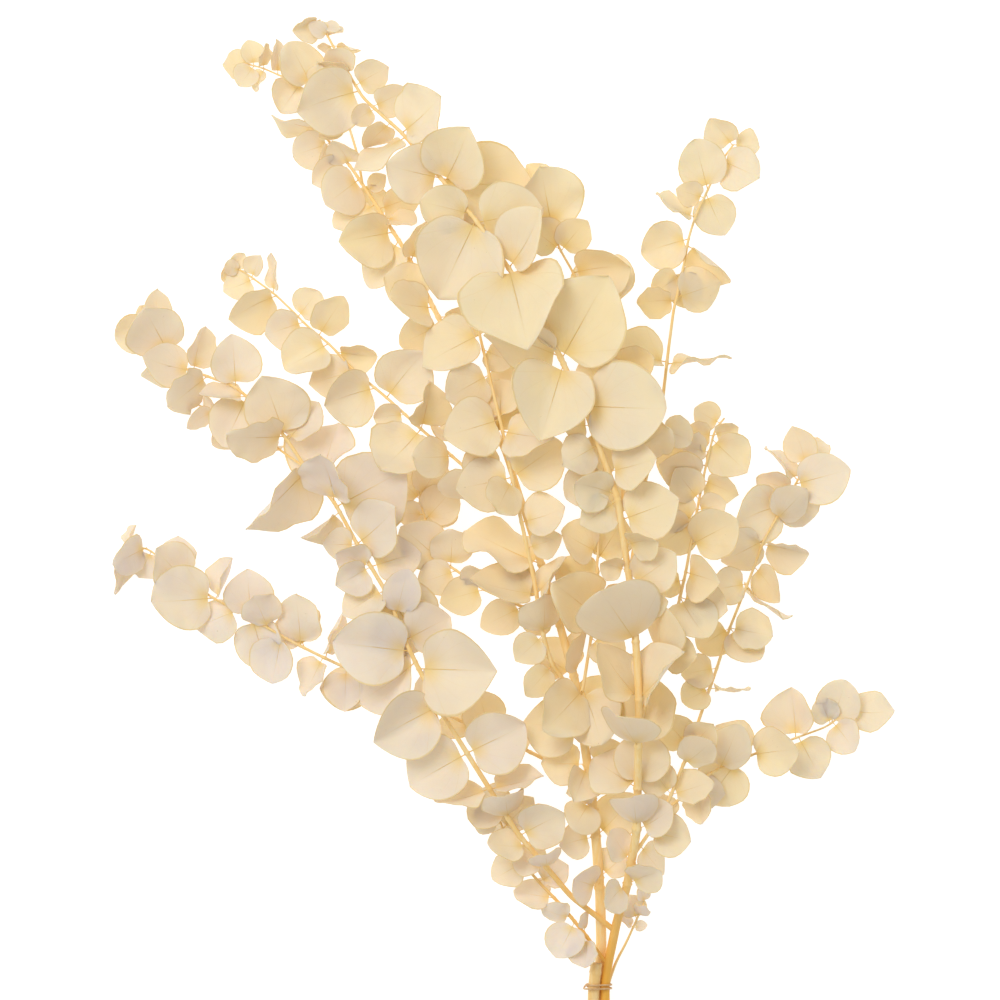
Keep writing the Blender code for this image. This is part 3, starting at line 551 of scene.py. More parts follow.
# Each route point is (steps right, steps down, height in mm). thick is the diameter at the foot and at the
# tip in mm. leafy is where leaves start along the stem, then the first, fullest and last leaf in mm. turn
# is the first pair's angle round the stem. A key leaf is (foot, foot, tip, tip, roll in degrees).
BRANCHES = {
    "right main": Branch(
        "right", None,
        [(605.8, 1040, 10), (605.8, 990, 12.2), (609, 965, 15), (616, 930, 22), (628, 885, 34),
         (637, 830, 52), (638, 760, 68), (638, 688, 84), (633, 610, 93), (617, 499, 99), (585, 410, 101),
         (537, 312, 94), (476, 221, 78), (402, 132, 44), (362, 96, 28), (332, 43, 14), (318, 16, 8)],
        (7.0, 1.4), (0.16, 33, 66, 16), 20,
        key=[(318, 16, 292, 27, 45), (332, 43, 317, 45, 60), (332, 43, 358, 42, 60),
             (348, 75, 318, 62, 50), (360, 88, 296, 100, 30), (352, 85, 384, 64, 20),
             (372, 105, 405, 90, 30), (375, 107, 353, 119, 20), (405, 137, 356, 165, 78),
             (405, 137, 430, 128, 70), (402, 132, 453, 110, 25), (441, 178, 388, 166, 10),
             (442, 178, 524, 188, 5), (476, 221, 441, 294, 8), (480, 222, 539, 212, 20),
             (508, 270, 555, 226, 30), (508, 270, 532, 361, 0), (562, 360, 606, 284, 8),
             (561, 366, 540, 440, 0), (530, 372, 488, 340, 20), (589, 404, 661, 410, 0),
             (587, 430, 618, 501, 0), (637, 788, 642, 734, 5), (637, 830, 672, 812, 20),
             (628, 885, 662, 862, 20), (628, 885, 600, 905, 20), (620, 520, 674, 500, 10),
             (630, 585, 672, 556, 10), (598, 445, 560, 462, 10), (390, 122, 368, 150, 20),
             (615, 495, 575, 480, 10), (633, 605, 664, 598, 20), (592, 425, 565, 428, 15),
             (628, 570, 602, 562, 20), (612, 470, 654, 462, 15), (633, 598, 600, 597, 15),
             (604, 470, 566, 492, 20), (617, 500, 582, 522, 15), (472, 214, 424, 203, 15),
             (424, 156, 462, 146, 20), (625, 545, 655, 528, 20), (446, 182, 482, 134, 25),
             (321, 23, 338, 25, 40)],
        sides=MAIN_SIDES),
    "left front": Branch(
        "right", "right main",
        [(615, 933, 22), (594, 916, 24), (571, 898, 30), (517, 833, 44), (480, 774, 54), (438, 707, 60),
         (410, 651, 60), (385, 590, 57), (357, 544, 53), (334, 502, 48), (307, 470, 44), (284, 436, 40),
         (259, 408, 34), (234, 386, 30), (207, 376, 24), (175, 365, 18), (145, 320, 9)],
        (4.2, 1.5), (0.12, 26, 50, 20), 65,
        key=[(307, 470, 251, 528, 50), (145, 321, 137, 305, 30), (147, 328, 115, 338, 5),
             (150, 330, 150, 290, 45), (165, 352, 151, 298, 30), (191, 367, 140, 364, 10),
             (180, 369, 143, 388, 50), (192, 370, 198, 328, 50), (207, 376, 207, 337, 40),
             (235, 386, 232, 337, 5), (205, 378, 164, 400, 62), (245, 396, 203, 388, 60),
             (245, 397, 225, 443, 20), (284, 436, 228, 418, 40), (284, 436, 262, 378, 10),
             (288, 440, 308, 400, 40), (318, 484, 312, 417, 40), (334, 502, 345, 443, 30),
             (334, 508, 403, 470, 20), (340, 512, 304, 538, 60), (357, 544, 402, 512, 15),
             (372, 566, 418, 552, 10), (372, 566, 338, 552, 10), (385, 590, 345, 612, 40),
             (385, 589, 425, 645, 5), (410, 651, 339, 642, 5), (415, 662, 352, 690, 30),
             (420, 668, 493, 670, 0), (437, 707, 377, 737, 0), (467, 753, 521, 727, 0),
             (466, 754, 413, 784, 10), (490, 788, 440, 802, 68), (492, 788, 540, 778, 60),
             (520, 836, 561, 813, 10), (372, 566, 338, 585, 20), (357, 544, 325, 545, 15),
             (405, 640, 448, 618, 20)],
        sides=5),
    "left front fork": Branch(
        "right", "left front",
        [(305, 468, 44), (282, 452, 30), (262, 435, 22), (240, 420, 16), (205, 408, 10), (185, 400, 7)],
        (1.8, 1.0), (0.25, 24, 26, 14), 30,
        key=[(212, 410, 182, 416, 50), (240, 420, 212, 442, 20)]),
    "low front": Branch(
        "right", "right main",
        [(609, 968, 15), (600, 957, 18), (588, 940, 20), (564, 910, 22), (540, 885, 25), (516, 857, 29),
         (506, 838, 31), (497, 815, 33)],
        (3.0, 1.3), (0.22, 18, 32, 18), 40,
        key=[(522, 864, 495, 881, 20), (508, 842, 490, 824, 30), (538, 884, 566, 868, 25),
             (575, 924, 560, 958, 15), (587, 939, 590, 968, 30), (503, 830, 532, 800, 20)]),
    "right high": Branch(
        "right", "right main",
        [(633, 858, 44), (665, 810, 49), (685, 761, 52), (702, 711, 53), (716, 671, 52), (730, 628, 49),
         (748, 584, 44), (765, 540, 38), (785, 505, 31), (805, 470, 20), (815, 450, 14)],
        (2.8, 1.3), (0.10, 26, 42, 26), 75,
        key=[(808, 465, 800, 428, 20), (797, 484, 848, 470, 0), (795, 488, 803, 527, 0),
             (793, 490, 760, 480, 20), (799, 480, 778, 441, 45), (785, 505, 735, 518, 10),
             (765, 540, 726, 562, 5), (764, 545, 807, 551, 65), (755, 567, 783, 597, 40),
             (748, 584, 794, 606, 50), (730, 628, 757, 660, 10), (730, 628, 700, 650, 10),
             (709, 688, 684, 702, 20), (709, 688, 748, 691, 72), (716, 668, 684, 676, 20),
             (690, 748, 663, 716, 15), (690, 748, 716, 722, 5), (650, 833, 688, 840, 10),
             (642, 847, 668, 878, 10), (748, 588, 796, 612, 40), (748, 584, 712, 590, 10),
             (770, 530, 792, 590, 60), (752, 576, 762, 614, 25), (730, 628, 770, 636, 30),
             (768, 538, 776, 572, 30)]),
    "right low": Branch(
        "right", "right high",
        [(662, 815, 46), (710, 774, 38), (753, 756, 30), (790, 742, 22), (830, 728, 14), (850, 712, 9)],
        (2.4, 1.1), (0.18, 32, 40, 26), 10,
        key=[(738, 763, 709, 804, 5), (697, 788, 706, 820, 40), (753, 757, 799, 748, 0),
             (753, 757, 717, 733, 10), (797, 738, 795, 692, 30), (800, 738, 821, 776, 10),
             (835, 727, 848, 685, 0), (836, 725, 858, 750, 20), (850, 712, 893, 716, 20),
             (834, 727, 822, 700, 10), (848, 715, 878, 740, 20), (843, 719, 878, 736, 35)]),
    "right middle": Branch(
        "right", "right main",
        [(640, 720, 76), (650, 690, 77), (661, 651, 76), (677, 608, 73), (686, 568, 69), (695, 520, 62),
         (705, 470, 52), (715, 430, 42), (725, 418, 38)],
        (2.8, 1.3), (0.10, 33, 48, 30), 15,
        key=[(722, 424, 697, 410, 10), (715, 440, 745, 470, 10), (708, 452, 683, 446, 30),
             (703, 480, 736, 494, 40), (700, 500, 676, 472, 10), (690, 545, 735, 520, 10),
             (695, 520, 660, 545, 5), (680, 597, 722, 612, 10), (695, 520, 655, 500, 15),
             (662, 648, 695, 655, 20), (703, 478, 664, 462, 10), (697, 510, 724, 504, 15),
             (705, 465, 652, 460, 10), (685, 572, 728, 576, 15), (712, 435, 736, 426, 20),
             (680, 597, 700, 640, 15), (684, 580, 656, 586, 15), (714, 436, 688, 432, 20)]),
    "right top": Branch(
        "right", "right main",
        [(628, 580, 93), (640, 500, 85), (660, 420, 70), (667, 360, 58), (674, 310, 48), (682, 275, 40),
         (690, 235, 32), (697, 213, 28), (709, 188, 22), (722, 160, 16), (735, 142, 12)],
        (3.0, 1.2), (0.63, 34, 44, 26), 0,
        key=[(733, 142, 714, 116, 15), (735, 142, 759, 145, 40), (723, 158, 762, 174, 10),
             (709, 188, 696, 141, 0), (707, 192, 724, 231, 10), (697, 216, 656, 203, 68),
             (690, 238, 645, 250, 5), (684, 268, 689, 306, 0), (688, 245, 733, 268, 68),
             (676, 300, 640, 300, 45), (666, 362, 612, 352, 50), (666, 364, 728, 358, 70),
             (705, 196, 680, 184, 30),
             (682, 275, 652, 292, 10), (658, 428, 690, 440, 10)]),
    "upper middle": Branch(
        "right", "right main",
        [(622, 520, 98), (625, 450, 88), (617, 390, 80), (601, 337, 73), (573, 273, 64), (560, 250, 60),
         (550, 222, 53), (545, 182, 44)],
        (2.6, 1.3), (0.18, 42, 54, 30), 50,
        key=[(573, 273, 626, 262, 10), (560, 252, 583, 222, 20), (552, 226, 548, 165, 20),
             (548, 210, 516, 170, 40), (560, 250, 530, 228, 20), (612, 372, 652, 358, 15),
             (546, 190, 530, 165, 20)]),
    "left main": Branch(
        "left", None,
        [(596.5, 1045, 4.2), (597.6, 990, 6.5), (602, 961, 8.5), (601, 900, 20), (596, 833, 30),
         (588, 765, 38), (575, 680, 48), (553, 601, 53), (505, 450, 57), (470, 385, 56), (444, 329, 52),
         (402, 245, 40), (375, 203, 30), (350, 165, 22), (312, 120, 9)],
        (8.2, 1.5), (0.20, 33, 58, 26), 45,
        key=[(441, 325, 402, 342, 20), (430, 300, 386, 278, 10), (410, 262, 430, 207, 50),
             (436, 318, 378, 338, 68), (436, 318, 488, 315, 68), (375, 203, 336, 228, 40),
             (385, 216, 412, 233, 55), (398, 240, 371, 284, 15), (356, 172, 324, 129, 5),
             (329, 141, 314, 162, 50), (318, 127, 272, 118, 70), (312, 120, 289, 146, 20),
             (345, 160, 313, 180, 15), (358, 178, 315, 205, 10), (360, 182, 374, 216, 30),
             (588, 765, 568, 800, 15), (592, 800, 575, 834, 10), (597, 838, 632, 800, 10),
             (584, 735, 528, 722, 10), (588, 765, 545, 762, 15), (600, 890, 568, 870, 15),
             (378, 208, 420, 204, 45), (597, 838, 562, 845, 10), (600, 880, 622, 855, 20),
             (588, 765, 618, 745, 10), (365, 190, 386, 178, 20), (329, 141, 294, 152, 20),
             (436, 318, 380, 318, 40), (392, 232, 338, 236, 35), (350, 163, 342, 132, 20),
             (380, 212, 412, 228, 20), (436, 306, 380, 314, 15), (443, 324, 466, 296, 20),
             (560, 625, 520, 608, 20), (390, 222, 424, 214, 15), (543, 572, 505, 585, 20)],
        sides=MAIN_SIDES),
    "left inner": Branch(
        "left", "left main",
        [(579, 700, 47), (552, 665, 60), (543, 635, 66), (534, 580, 72), (518, 507, 77), (500, 420, 76),
         (486, 361, 73), (470, 294, 67), (447, 262, 60), (440, 225, 54)],
        (3.4, 1.4), (0.16, 40, 60, 38), 80,
        key=[(514, 477, 558, 445, 5), (514, 477, 460, 490, 5), (500, 420, 447, 436, 10),
             (490, 375, 450, 398, 15), (552, 665, 527, 694, 15), (543, 635, 518, 660, 10),
             (500, 420, 494, 376, 15), (500, 432, 556, 452, 15), (514, 480, 488, 514, 15),
             (522, 522, 562, 512, 20), (480, 335, 425, 362, 20), (527, 548, 560, 538, 15),
             (484, 350, 510, 368, 20)]),
    "left high": Branch(
        "left", "left inner",
        [(518, 512, 76), (500, 497, 74), (460, 463, 66), (421, 429, 57), (386, 397, 48), (350, 367, 39),
         (329, 344, 34), (307, 326, 29), (275, 294, 21), (243, 271, 13), (225, 262, 9)],
        (2.5, 1.1), (0.12, 34, 40, 12), 10,
        key=[(225, 262, 222, 279, 50), (231, 264, 242, 253, 20), (250, 276, 259, 255, 30),
             (252, 277, 224, 289, 20), (272, 292, 274, 254, 66), (276, 294, 229, 312, 52),
             (297, 316, 317, 291, 30), (302, 322, 267, 332, 30), (318, 335, 341, 298, 30),
             (328, 343, 287, 367, 10), (335, 352, 374, 357, 40), (375, 388, 326, 400, 10),
             (387, 397, 421, 354, 10), (421, 429, 428, 384, 40), (421, 429, 390, 475, 30),
             (405, 415, 376, 418, 20), (386, 397, 364, 430, 25)]),
    "left low": Branch(
        "left", "left main",
        [(592, 795, 35), (575, 778, 31), (546, 761, 27), (517, 747, 25), (450, 717, 22), (400, 695, 21),
         (328, 661, 20), (282, 638, 19), (250, 619, 17), (211, 599, 14), (178, 575, 11), (144, 548, 8),
         (120, 547, 6)],
        (3.0, 1.2), (0.14, 26, 36, 24), 60,
        key=[(124, 547, 135, 528, 60), (122, 547, 107, 590, 62), (144, 548, 106, 564, 5),
             (187, 582, 149, 553, 5), (211, 598, 149, 602, 5), (213, 600, 236, 565, 62),
             (249, 618, 246, 573, 5), (250, 620, 262, 670, 10), (300, 646, 296, 597, 20),
             (280, 636, 273, 681, 45), (325, 658, 337, 613, 62), (322, 658, 304, 695, 40),
             (345, 670, 344, 711, 15), (490, 735, 478, 692, 15), (150, 550, 138, 580, 20)]),
    "left back": Branch(
        "left", "left main",
        [(555, 621, 52), (534, 612, 46), (484, 590, 38), (440, 560, 32), (425, 520, 28), (415, 480, 25)],
        (2.6, 1.2), (0.18, 34, 42, 30), 20,
        key=[(484, 590, 443, 600, 10), (440, 560, 400, 530, 10), (425, 520, 452, 490, 10),
             (420, 500, 396, 470, 20), (450, 568, 455, 528, 10), (455, 572, 418, 582, 10),
             (423, 515, 396, 512, 10), (484, 590, 476, 558, 20)]),
    "left centre": Branch(
        "left", "left main",
        [(580, 699, 47), (583, 690, 49), (591, 638, 58), (595, 600, 63), (598, 546, 64), (600, 500, 60)],
        (2.6, 1.3), (0.24, 38, 50, 34), 70,
        key=[(583, 690, 545, 735, 5), (583, 690, 604, 742, 5), (596, 590, 560, 565, 10),
             (597, 560, 620, 520, 10), (597, 552, 560, 535, 10), (591, 638, 622, 660, 20)]),
    "top left": Branch(
        "left", "left main",
        [(362, 183, 27), (356, 150, 30), (345, 115, 26), (311, 83, 18), (282, 74, 12), (262, 65, 9),
         (240, 59, 6)],
        (1.9, 1.0), (0.30, 28, 34, 20), 25,
        key=[(311, 83, 289, 42, 10), (248, 61, 219, 62, 5), (262, 65, 262, 41, 48),
             (262, 66, 254, 87, 48), (276, 72, 275, 38, 40), (330, 102, 306, 112, 50),
             (315, 86, 330, 60, 20), (300, 80, 280, 108, 10), (252, 62, 246, 38, 25),
             (252, 63, 238, 82, 25)]),
    "thin leafy": Branch(
        "thin", None,
        [(608.2, 1036, 4.4), (608.4, 990, 6.6), (617, 965, 9), (626, 948, 12), (638, 921, 17),
         (645, 905, 20)],
        (2.8, 1.2), (0.80, 12, 14, 10), 0,
        key=[(637, 922, 631, 899, 20), (645, 905, 640, 888, 30)],
        sides=5),
}
TREE_NAMES = {"right": "right_leafy_stem", "left": "left_leafy_stem", "thin": "thin_leafy_stem"}
print("stems", len(BRANCHES), "key leaves", sum(len(branch.key) for branch in BRANCHES.values()))

# %% [markdown]
# Stem lines
#
# A stem is a line of points with a radius at each. A side stem starts on the middle of the stem that carries
# it, so that they join without a gap. The line can say where it is nearest to a point, and how it runs there.

# %% Stem lines
TAPER_POWER = 0.8
FAR_OFF = 1e9
TINY_SQUARE = 1e-12
TINY_LENGTH = 1e-9


class Stem:
    """The grown line of a branch: points along its middle and a radius at each."""

    def __init__(self, branch, parent):
        points = [on_plan(*p) for p in branch.route]
        if parent:
            points[0] = parent.at(parent.nearest(points[0]))[0]
        self.points = points
        self.reach = [0.0]
        for a, b in zip(self.points, self.points[1:]):
            self.reach.append(self.reach[-1] + (b - a).length)
        self.length = self.reach[-1]
        foot, tip = (d / 2 * MM for d in branch.thick)
        self.radii = [tip + (foot - tip) * (1 - s / self.length) ** TAPER_POWER for s in self.reach]

    def nearest(self, point):
        """Distance along the stem of the place that lies nearest to a point in plan."""
        best = (FAR_OFF, 0.0)
        for i, (a, b) in enumerate(zip(self.points, self.points[1:])):
            span = (b - a).xy
            t = max(0.0, min(1.0, (point - a).xy.dot(span) / max(span.length_squared, TINY_SQUARE)))
            gap = (point.xy - (a.xy + span * t)).length
            best = min(best, (gap, self.reach[i] + t * (b - a).length))
        return best[1]

    def at(self, distance):
        """Middle, direction and radius at a distance along the stem."""
        for i, (a, b) in enumerate(zip(self.points, self.points[1:])):
            if distance <= self.reach[i + 1] or i == len(self.points) - 2:
                t = (distance - self.reach[i]) / max((b - a).length, TINY_LENGTH)
                return a.lerp(b, t), (b - a).normalized(), self.radii[i] * (1 - t) + self.radii[i + 1] * t


stems = {}
for name, branch in BRANCHES.items():
    stems[name] = Stem(branch, stems.get(branch.parent))
print("stem lengths in mm", {name: round(stem.length * 1000) for name, stem in stems.items()})

# %% [markdown]
# The shape of a leaf
#
# The blade is nearly round, a little longer than wide, widest nearer its foot, with a blunt point. It could
# be sculpted once and copied, but then all leaves would bend alike. Here a formula gives a point on the blade
# from how far along and how far across it is, and each leaf has its own bow, cup, fold, wave and twist.

# %% Leaf shape
WIDEST_AT = 0.42
BASE_SHARE = 0.56
TIP_POWER = 0.62


def half_width(u):
    """Half of the blade's width along its midrib, as a share of the widest half."""
    if u < WIDEST_AT:
        return BASE_SHARE + (1 - BASE_SHARE) * math.sin(math.pi / 2 * u / WIDEST_AT)
    t = (u - WIDEST_AT) / (1 - WIDEST_AT)
    return max(0.0, 1 - t * t) ** TIP_POWER


print("half width at the foot and where it is widest", round(half_width(0), 2), half_width(WIDEST_AT))

# %% One leaf
BLADE_THICK = 0.62 * MM
ROOT_DEPTH = 1.8 * MM
PETIOLE_SHARE = 1.1
PETIOLE_CLEAR = 2.8 * MM
LOBE_SWEEP = 0.07
HUB_AT = 0.4
SMALL_LEAF = 32 * MM
SHORTEST_LEAF = 7 * MM
FLOOR_LIFT = 0.35 * MM
SMALL_RIM = [(0.26, -1), (0.74, -1), (1, 0), (0.74, 1), (0.26, 1)]
LARGE_RIM = [(0.17, -1), (0.48, -1), (0.82, -1), (1, 0), (0.82, 1), (0.48, 1), (0.17, 1)]
# Ranges that each leaf draws from, as shares of its own size, with the twist in radians
WIDTHS = (0.88, 1.06)
BOWS = (-0.10, 0.30)
CUPS = (-0.10, 0.22)
FOLDS = [0.0, 0.0, 0.10, 0.30]
WAVES = (0.0, 0.07)
WAVE_COUNT = 1.5
WAVE_SKEW = 1.5
TWISTS = (-0.5, 0.5)
LEAF_CLEAR = 0.24 * MM
GUARD_SCALE = 1.03
GUARD_FOOT = 0.03


def box_round(points):
    """Lowest and highest corner of the box round some points."""
    return [Vector(pick(p[i] for p in points) for i in range(3)) for pick in (min, max)]


class Leaf:
    """One blade: where its root is, which way it points and faces, and how it is curved."""

    def __init__(self, root, along, face, radius, length, rng):
        self.root = root
        self.sunk = max(0.0, radius - ROOT_DEPTH)
        self.petiole = PETIOLE_SHARE * radius + PETIOLE_CLEAR * min(1.0, length / SMALL_LEAF)
        self.along = along.normalized()
        self.face = (face - face.dot(self.along) * self.along).normalized()
        self.length = max(length - self.petiole, SHORTEST_LEAF)
        self.width = length * rng.uniform(*WIDTHS)
        self.bow = rng.uniform(*BOWS)
        self.cup = rng.uniform(*CUPS)
        self.fold = rng.choice(FOLDS)
        self.wave = rng.uniform(*WAVES)
        self.phase = rng.uniform(0, 2 * math.pi)
        self.twist = rng.uniform(*TWISTS)

    def turned(self, lift, roll, scale):
        """The same leaf lifted towards its face, rolled about its midrib and scaled."""
        other = Leaf.__new__(Leaf)
        other.__dict__.update(self.__dict__)
        side = self.along.cross(self.face)
        tip_up = Matrix.Rotation(-lift, 3, side)
        other.along = tip_up @ self.along
        other.face = Matrix.Rotation(roll, 3, other.along) @ (tip_up @ self.face)
        other.length = self.length * scale
        other.width = self.width * scale
        return other

    def surface(self, u, v):
        """Point on the blade: u runs from foot to tip, v from edge to edge."""
        half = half_width(u) * self.width / 2
        x = self.petiole + self.length * (u - LOBE_SWEEP * (1 - u) ** 3 * v * v)
        y = half * v
        z = self.length * self.bow * u * u
        z += self.width * (self.cup * v * v + self.fold * abs(v)) * half_width(u) / 2
        ripple = math.sin(2 * math.pi * WAVE_COUNT * u + self.phase + WAVE_SKEW * v)
        z += self.width * self.wave * v * v * ripple
        turn = self.twist * u
        y, z = y * math.cos(turn) - z * math.sin(turn), y * math.sin(turn) + z * math.cos(turn)
        return self.placed(x, y, z)

    def placed(self, x, y, z):
        """Local point to world, kept above the surface that the bunch lies on."""
        side = self.face.cross(self.along)
        point = self.root + self.along * x + side * y + self.face * z
        point.z = max(point.z, FLOOR_LIFT)
        return point

    def rim(self):
        """Outline points from the root round the blade and back."""
        marks = SMALL_RIM if self.length < SMALL_LEAF else LARGE_RIM
        return [self.surface(u, v) for u, v in marks]

    def guard(self):
        """Search tree of a slightly larger blade, without its root."""
        middle = self.surface(HUB_AT, 0)
        rim = [middle + (p - middle) * GUARD_SCALE for p in self.rim() + [self.surface(GUARD_FOOT, 0)]]
        offset = self.face * (BLADE_THICK / 2 + LEAF_CLEAR)
        verts = [p + offset for p in [middle] + rim] + [p - offset for p in [middle] + rim]
        count = len(rim)
        faces = []
        for k in range(count):
            after = (k + 1) % count
            faces.append((0, 1 + k, 1 + after))
            faces.append((count + 1, count + 2 + k, count + 2 + after))
        return *box_round(verts), BVHTree.FromPolygons(verts, faces)


sample = Leaf(Vector((0, 0, 0)), Vector((0, 1, 0)), Vector((0, 0, 1)), MM, 50 * MM, random.Random(1))
print("a 50 mm leaf has a blade", round(sample.length * 1000, 1), "mm long")

# %% [markdown]
# Giving every leaf its own space
#
# Leaves grow in pairs on opposite sides, each pair a quarter turn from the last. In the bunch they push each
# other aside. A search tree of each blade's surface shows when two cross. A leaf that would cross another
# is swung, rolled or made smaller until it is clear, and one that finds no room is left out.

# %% Finding room


def boxes_meet(a, b):
    """Whether two boxes overlap."""
    return all(a[0][i] <= b[1][i] and b[0][i] <= a[1][i] for i in range(3))


def crowd(leaf, taken):
    """How many blades already lie over the middle of a leaf."""
    x, y, z = leaf.surface(0.5, 0)
    return sum(g[0].x < x < g[1].x and g[0].y < y < g[1].y and z < g[1].z for owner, g in taken if owner)


def meets(guard, others):
    """Whether a search tree crosses any of the others."""
    return any(boxes_meet(guard, other) and guard[2].overlap(other[2]) for other in others)


def settled(leaf, partner, taken, swings):
    """The leaf in the first of its swings that is clear of everything placed so far, or None."""
    others = [guard for owner, guard in taken if owner != partner]
    for lift, roll, scale in swings:
        tried = leaf.turned(math.radians(lift), math.radians(roll), scale)
        guard = tried.guard()
        if not meets(guard, others):
            return tried, guard
    return None


KEY_SWINGS = [(lift, roll, scale) for scale in (1.0, 0.9, 0.78)
              for roll in (0, 18, -18, 34, -34) for lift in (0, 10, -10, 20, -20, 32, -32)]
RULE_SWINGS = [(lift, roll, scale) for scale in (1.0, 0.85, 0.7)
               for lift in (0, 14, -14, 28, -28, 40) for roll in (0, 25, -25, 50, -50)]
print("ways to turn a leaf", len(KEY_SWINGS), "by hand", len(RULE_SWINGS), "by rule")

# %% [markdown]
# Listed leaves and leaves by rule
#
# The outline leaves come first, because they make the bunch recognisable. Then each stem is filled with
# pairs, big in the middle of the stem and small at its tip. All could be placed by hand, but the rule gives
# the leaves that nobody sees clearly for almost no work.

# %% Leaf rules
KEY_FULLNESS = 1.08
KEY_LIFTS = (-14, 10)
FULLEST_AT = 0.4
SHRINK_POWER = 1.5


def key_leaves(stem, branch, rng):
    """Leaves whose foot and tip are given on the plan."""
    for foot_x, foot_y, tip_x, tip_y, roll in branch.key:
        distance = stem.nearest(on_plan(foot_x, foot_y, 0))
        root, _, radius = stem.at(distance)
        along = on_plan(tip_x, tip_y, 0) - root
        along.z = 0.0
        leaf = Leaf(root, along, Vector((0, 0, 1)), radius, along.length * KEY_FULLNESS, rng)
        sign = rng.choice([-1, 1])
        lift = math.radians(rng.uniform(*KEY_LIFTS))
        yield distance, leaf.turned(lift, math.radians(sign * roll), 1.0)


def leaf_length(branch, share):
    """Length of the leaves at a share of the way from the first pair to the tip."""
    _, first, full, last = branch.leafy
    if share < FULLEST_AT:
        return (first + (full - first) * math.sin(math.pi / 2 * share / FULLEST_AT)) * MM
    return (full + (last - full) * ((share - FULLEST_AT) / (1 - FULLEST_AT)) ** SHRINK_POWER) * MM


longest = leaf_length(BRANCHES["right main"], FULLEST_AT)
print("the right main stem's longest leaf is", round(longest * 1000), "mm")

# %% Pairs of leaves
PAIR_SPACING = 0.8
SPACING_LOOSE = (0.9, 1.1)
PAIR_TURN = 90
TURN_LOOSE = 18
SPREADS = (52, 82)
LIE_FORWARD = 0.62
ROLL_LOOSE = 25
LENGTH_LOOSE = (0.86, 1.08)
FLATNESS = 0.5
FACE_UP = 0.62


def pair_leaves(stem, branch, distance, step, length, rng):
    """A pair of leaves on opposite sides of the stem, each pair a quarter turn on from the last."""
    root, forward, radius = stem.at(distance)
    side = forward.cross(Vector((0, 0, 1))).normalized()
    above = side.cross(forward)
    turn = math.radians(branch.turn + PAIR_TURN * step + rng.uniform(-TURN_LOOSE, TURN_LOOSE))
    for sign in (1, -1):
        out = sign * (math.cos(turn) * side + math.sin(turn) * FLATNESS * above)
        spread = math.radians(rng.uniform(*SPREADS)) * (1 - LIE_FORWARD * abs(math.sin(turn)))
        along = math.cos(spread) * forward + math.sin(spread) * out.normalized()
        tipward = forward - forward.dot(along) * along
        upward = Vector((0, 0, 1)) - along.z * along
        if upward.dot(tipward) < 0:
            upward.negate()
        face = tipward.normalized() * (1 - FACE_UP) + upward.normalized() * FACE_UP
        leaf = Leaf(root, along, face, radius, length * rng.uniform(*LENGTH_LOOSE), rng)
        yield leaf.turned(0, math.radians(rng.uniform(-ROLL_LOOSE, ROLL_LOOSE)), 1.0)


print("pairs turn by", PAIR_TURN, "degrees along a stem")

# %% [markdown]
# Rods
#
# A rod is laid along a row of points, each with its own radius. Blender's curve with a bevel does this and
# keeps the ring of every point square to the path. It is turned into a mesh and its doubles are merged.
# The same rod, a little thicker, is what keeps leaves from cutting through the stems.

# %% Rods
WELD = 0.001 * MM
STEM_CLEAR = 0.45 * MM


def tube(points, radii, sides, closed=False):
    """Round rod along the points as a welded mesh."""
    curve = bpy.data.curves.new("rod", "CURVE")
    curve.dimensions = "3D"
    curve.bevel_depth = 1.0
    curve.bevel_resolution = max(0, (sides - 4) // 2)
    curve.use_fill_caps = not closed
    spline = curve.splines.new("POLY")
    spline.points.add(len(points) - 1)
    spline.use_cyclic_u = closed
    for slot, point, radius in zip(spline.points, points, radii):
        slot.co = (*point, 1.0)
        slot.radius = radius
    holder = bpy.data.objects.new("rod", curve)
    mesh = bpy.data.meshes.new_from_object(holder)
    bpy.data.objects.remove(holder)
    bm = bmesh.new()
    bm.from_mesh(mesh)
    bmesh.ops.remove_doubles(bm, verts=bm.verts, dist=WELD)
    bmesh.ops.recalc_face_normals(bm, faces=bm.faces)
    bpy.data.meshes.remove(mesh)
    return bm


def stem_guard(stem, sides):
    """Search tree of a slightly thicker stem."""
    rod = tube(stem.points, [r + STEM_CLEAR for r in stem.radii], sides)
    guard = (*box_round([vert.co for vert in rod.verts]), BVHTree.FromBMesh(rod))
    rod.free()
    return guard


print("one rod ring has", MAIN_SIDES, "or", SIDE_SIDES, "sides while leaves are being placed")

# %% [markdown]
# Growing the bunch
#
# The listed leaves take their places on all stems first, and the rule then fills what room is left. A
# leaf that already lies under two others is left out, because it wouldn't show. Each stem draws its random
# values from a seed of its own, so the bunch is the same each time.

# %% Grow the leaves
KEY_SEED = 100
RULE_SEED = 300
NEAR_SHARE = 0.36
PAIR_MOST = 2
CROWD_LIMIT = 2


def grow_by_hand(name, stem, order, taken):
    """A stem's key leaves that found a clear place, and how far along they sit."""
    grown = []
    places = []
    for distance, leaf in key_leaves(stem, BRANCHES[name], random.Random(KEY_SEED + order)):
        owner = (name, round(distance, 3))
        found = settled(leaf, owner, taken, KEY_SWINGS)
        if found:
            grown.append(found[0])
            taken.append((owner, found[1]))
            places.append(distance)
    return grown, places


